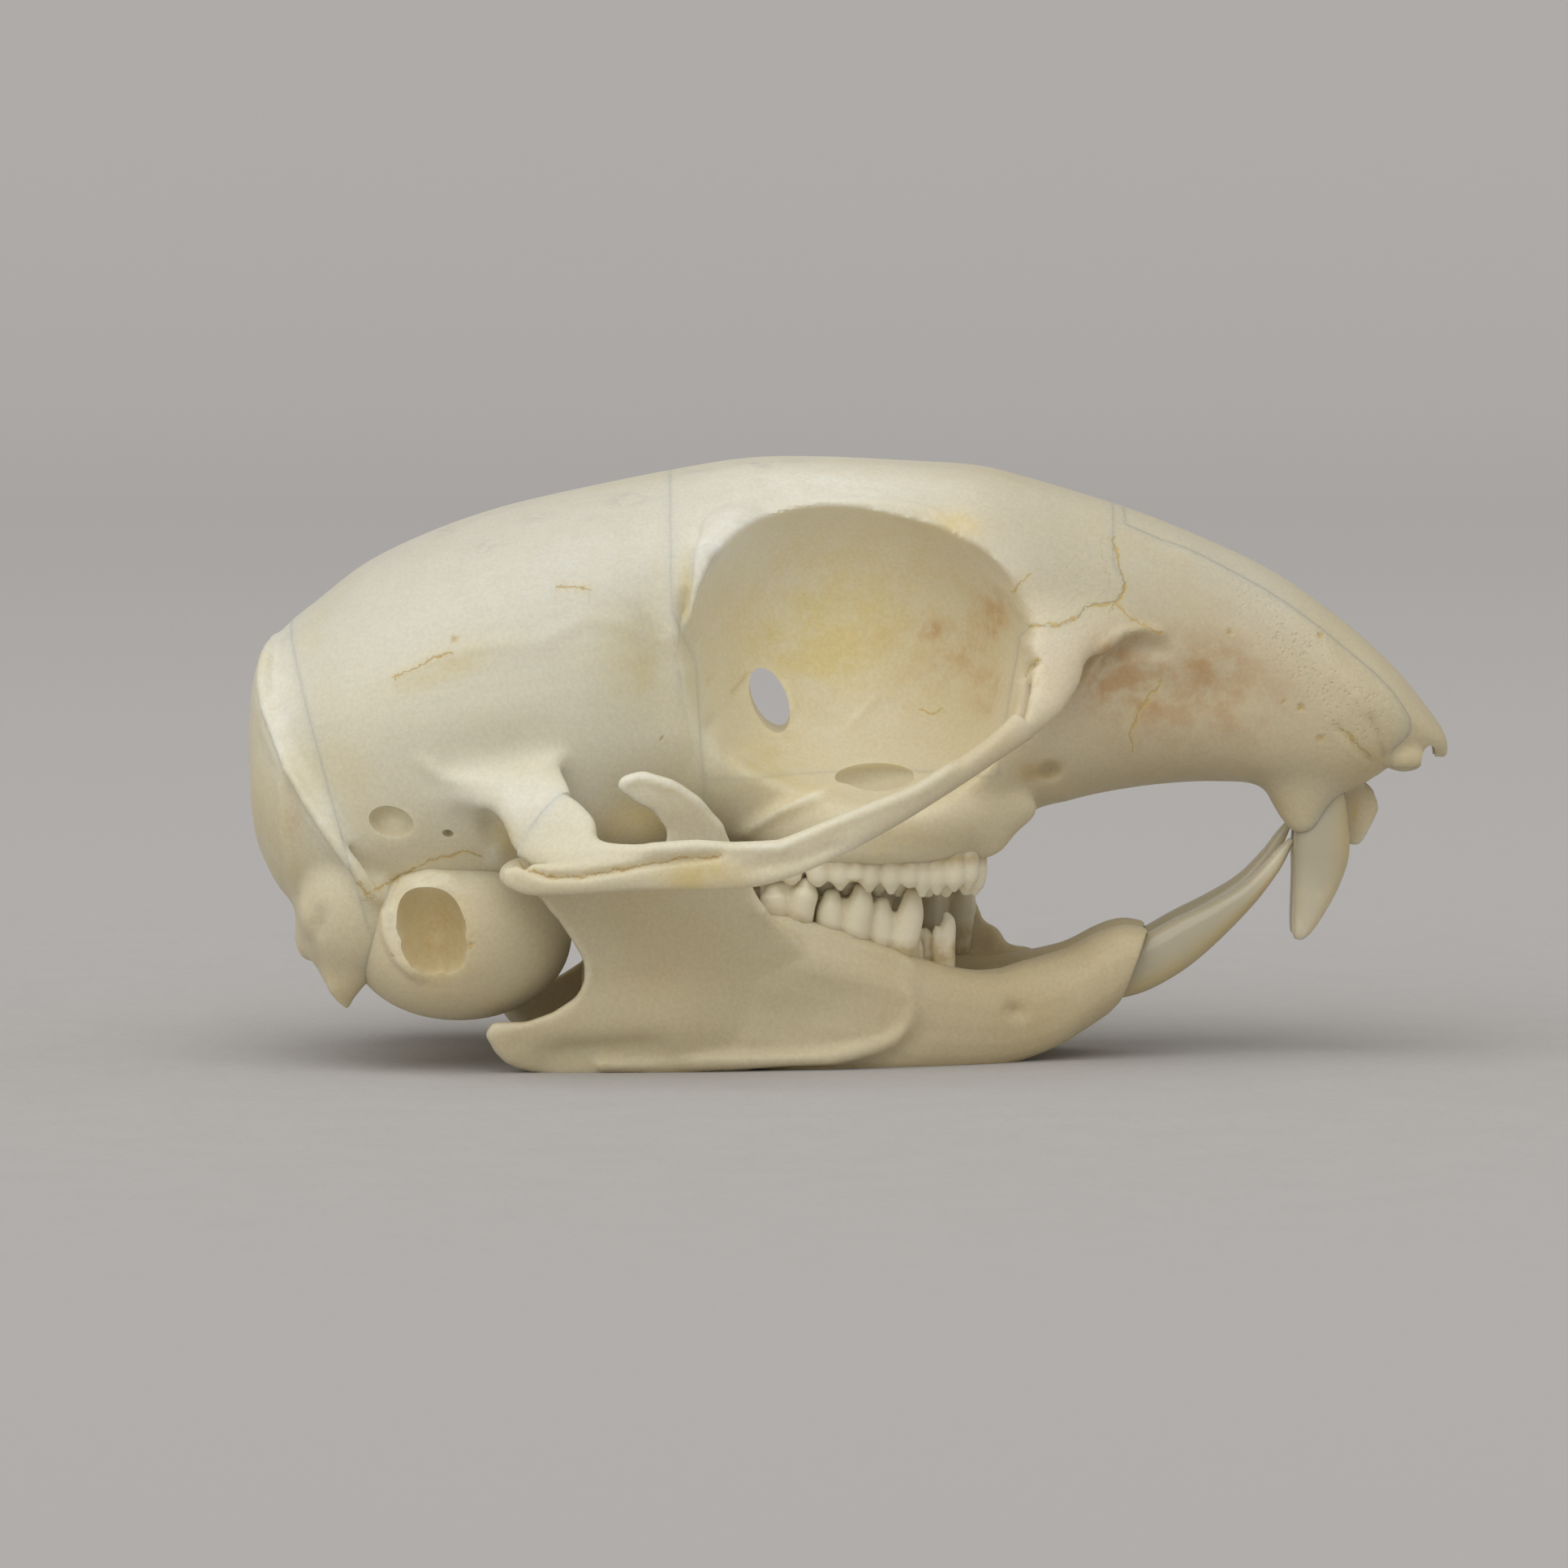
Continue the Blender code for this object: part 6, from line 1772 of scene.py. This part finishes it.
class SKULL_OT_incisors(bpy.types.Operator):
    """Builds the four gnawing teeth"""

    bl_idname = "skull.incisors"
    bl_label = "Incisors"

    def execute(self, context):
        for side, side_name in SIDE_NAME.items():
            for name, rows, ends_y, outer in (
                    ("upper_incisor_", UPPER_INCISOR, UPPER_INCISOR_Y, 1),
                    ("lower_incisor_", LOWER_INCISOR, LOWER_INCISOR_Y, -1)):
                tooth = incisor(name + "tooth", rows, ends_y, side)
                rounding = tooth.modifiers.new("Subdivision", "SUBSURF")
                rounding.levels = rounding.render_levels = 2
                apply_modifiers(tooth)
                tooth.name = name + side_name + "_tooth"
                points, normals = points_of(tooth), normals_of(tooth)
                forward = normals[:, 0] + normals[:, 2] * (-1 if outer < 0 else 0)
                store(tooth, "enamel", np.clip(forward * 1.4, 0, 1))
                base_z, tip_z = rows[0][1], rows[-1][1]
                along = (points[:, 2] - base_z) / (tip_z - base_z)
                store(tooth, "tip", np.clip((along - 0.55) * 1.6, 0, 1))
                material = shared_material("Incisor enamel", incisor_material,
                                           context.scene.skull_colours)
                finish_piece(tooth, material, "tooth", name + side_name)
        return {"FINISHED"}


class SKULL_OT_studio(bpy.types.Operator):
    """Builds the grey paper sweep, the soft lights and the camera"""

    bl_idname = "skull.studio"
    bl_label = "Studio"

    def execute(self, context):
        scene, studio = context.scene, context.scene.skull_studio
        near, far, rise, bend, half_width = -700.0, 420.0, 700.0, 260.0, 1200.0
        profile = [(near, 0.0), (-200.0, 0.0), (0.0, 0.0), (200.0, 0.0), (far, 0.0)]
        for k in range(1, 17):
            angle = math.radians(90) * k / 16
            profile.append((far + bend * math.sin(angle), bend * (1 - math.cos(angle))))
        profile.append((far + bend, rise))
        bm = bmesh.new()
        lines = [[bm.verts.new((x * MM, y * MM, z * MM)) for y, z in profile]
                 for x in (-half_width, half_width)]
        for i in range(len(profile) - 1):
            bm.faces.new((lines[0][i], lines[1][i], lines[1][i + 1], lines[0][i + 1]))
        sweep = object_from_bmesh("paper_sweep", bm)
        sweep.data.materials.append(shared_material("Grey paper", backdrop_material, studio))
        sweep.data.shade_smooth()

        key = bpy.data.lights.new("Top light", "SUN")
        key.energy = studio.key_strength
        key.angle = studio.key_softness
        key_object = new_object("Top light", key)
        key_object.location = (0, 0, 0.4)
        key_object.rotation_euler = (studio.key_tilt, -studio.key_side, 0)

        world = bpy.data.worlds.new("Even light")
        world.use_nodes = True
        background = world.node_tree.nodes["Background"]
        background.inputs["Color"].default_value = (1.0, 0.99, 0.97, 1)
        background.inputs["Strength"].default_value = studio.fill
        scene.world = world

        camera = bpy.data.cameras.new("Camera")
        camera.sensor_width = SENSOR
        camera.lens = SENSOR * CAMERA_DISTANCE / (PICTURE * PICTURE_SCALE)
        camera.clip_start, camera.clip_end = 10 * MM, 10.0
        holder = new_object("Camera", camera)
        back = Vector((0, -math.cos(CAMERA_RISE), math.sin(CAMERA_RISE)))
        holder.location = (Vector(CAMERA_AIM) + back * CAMERA_DISTANCE) * MM
        holder.rotation_euler = (math.radians(90) - CAMERA_RISE, 0, 0)
        scene.camera = holder
        scene.view_settings.view_transform = "Standard"
        return {"FINISHED"}


class SKULL_PT_panel(bpy.types.Panel):
    bl_label = "Ground squirrel skull"
    bl_idname = "SKULL_PT_panel"
    bl_space_type = "VIEW_3D"
    bl_region_type = "UI"
    bl_category = "Skull"

    def draw(self, context):
        scene = context.scene
        for heading, settings in (("Shape", scene.skull_shape), ("Colours", scene.skull_colours),
                                  ("Studio", scene.skull_studio)):
            box = self.layout.box()
            box.label(text=heading)
            for name in settings.bl_rna.properties.keys():
                if name not in {"rna_type", "name"}:
                    box.prop(settings, name)
        for operator in OPERATORS:
            self.layout.operator(operator.bl_idname)


OPERATORS = (SKULL_OT_studio, SKULL_OT_cranium, SKULL_OT_ear_capsules, SKULL_OT_cheek_arches,
             SKULL_OT_lower_jaws, SKULL_OT_cheek_teeth, SKULL_OT_incisors)
SETTINGS = (SkullShape, SkullColours, SkullStudio)


def register():
    for cls in (*SETTINGS, *OPERATORS, SKULL_PT_panel):
        bpy.utils.register_class(cls)
    bpy.types.Scene.skull_shape = PointerProperty(type=SkullShape)
    bpy.types.Scene.skull_colours = PointerProperty(type=SkullColours)
    bpy.types.Scene.skull_studio = PointerProperty(type=SkullStudio)


def unregister():
    del bpy.types.Scene.skull_shape
    del bpy.types.Scene.skull_colours
    del bpy.types.Scene.skull_studio
    for cls in reversed((*SETTINGS, *OPERATORS, SKULL_PT_panel)):
        bpy.utils.unregister_class(cls)


def main():
    register()
    for operator in OPERATORS:
        category, name = operator.bl_idname.split(".")
        getattr(getattr(bpy.ops, category), name)()
    bpy.context.view_layer.update()


if __name__ == "__main__":
    main()
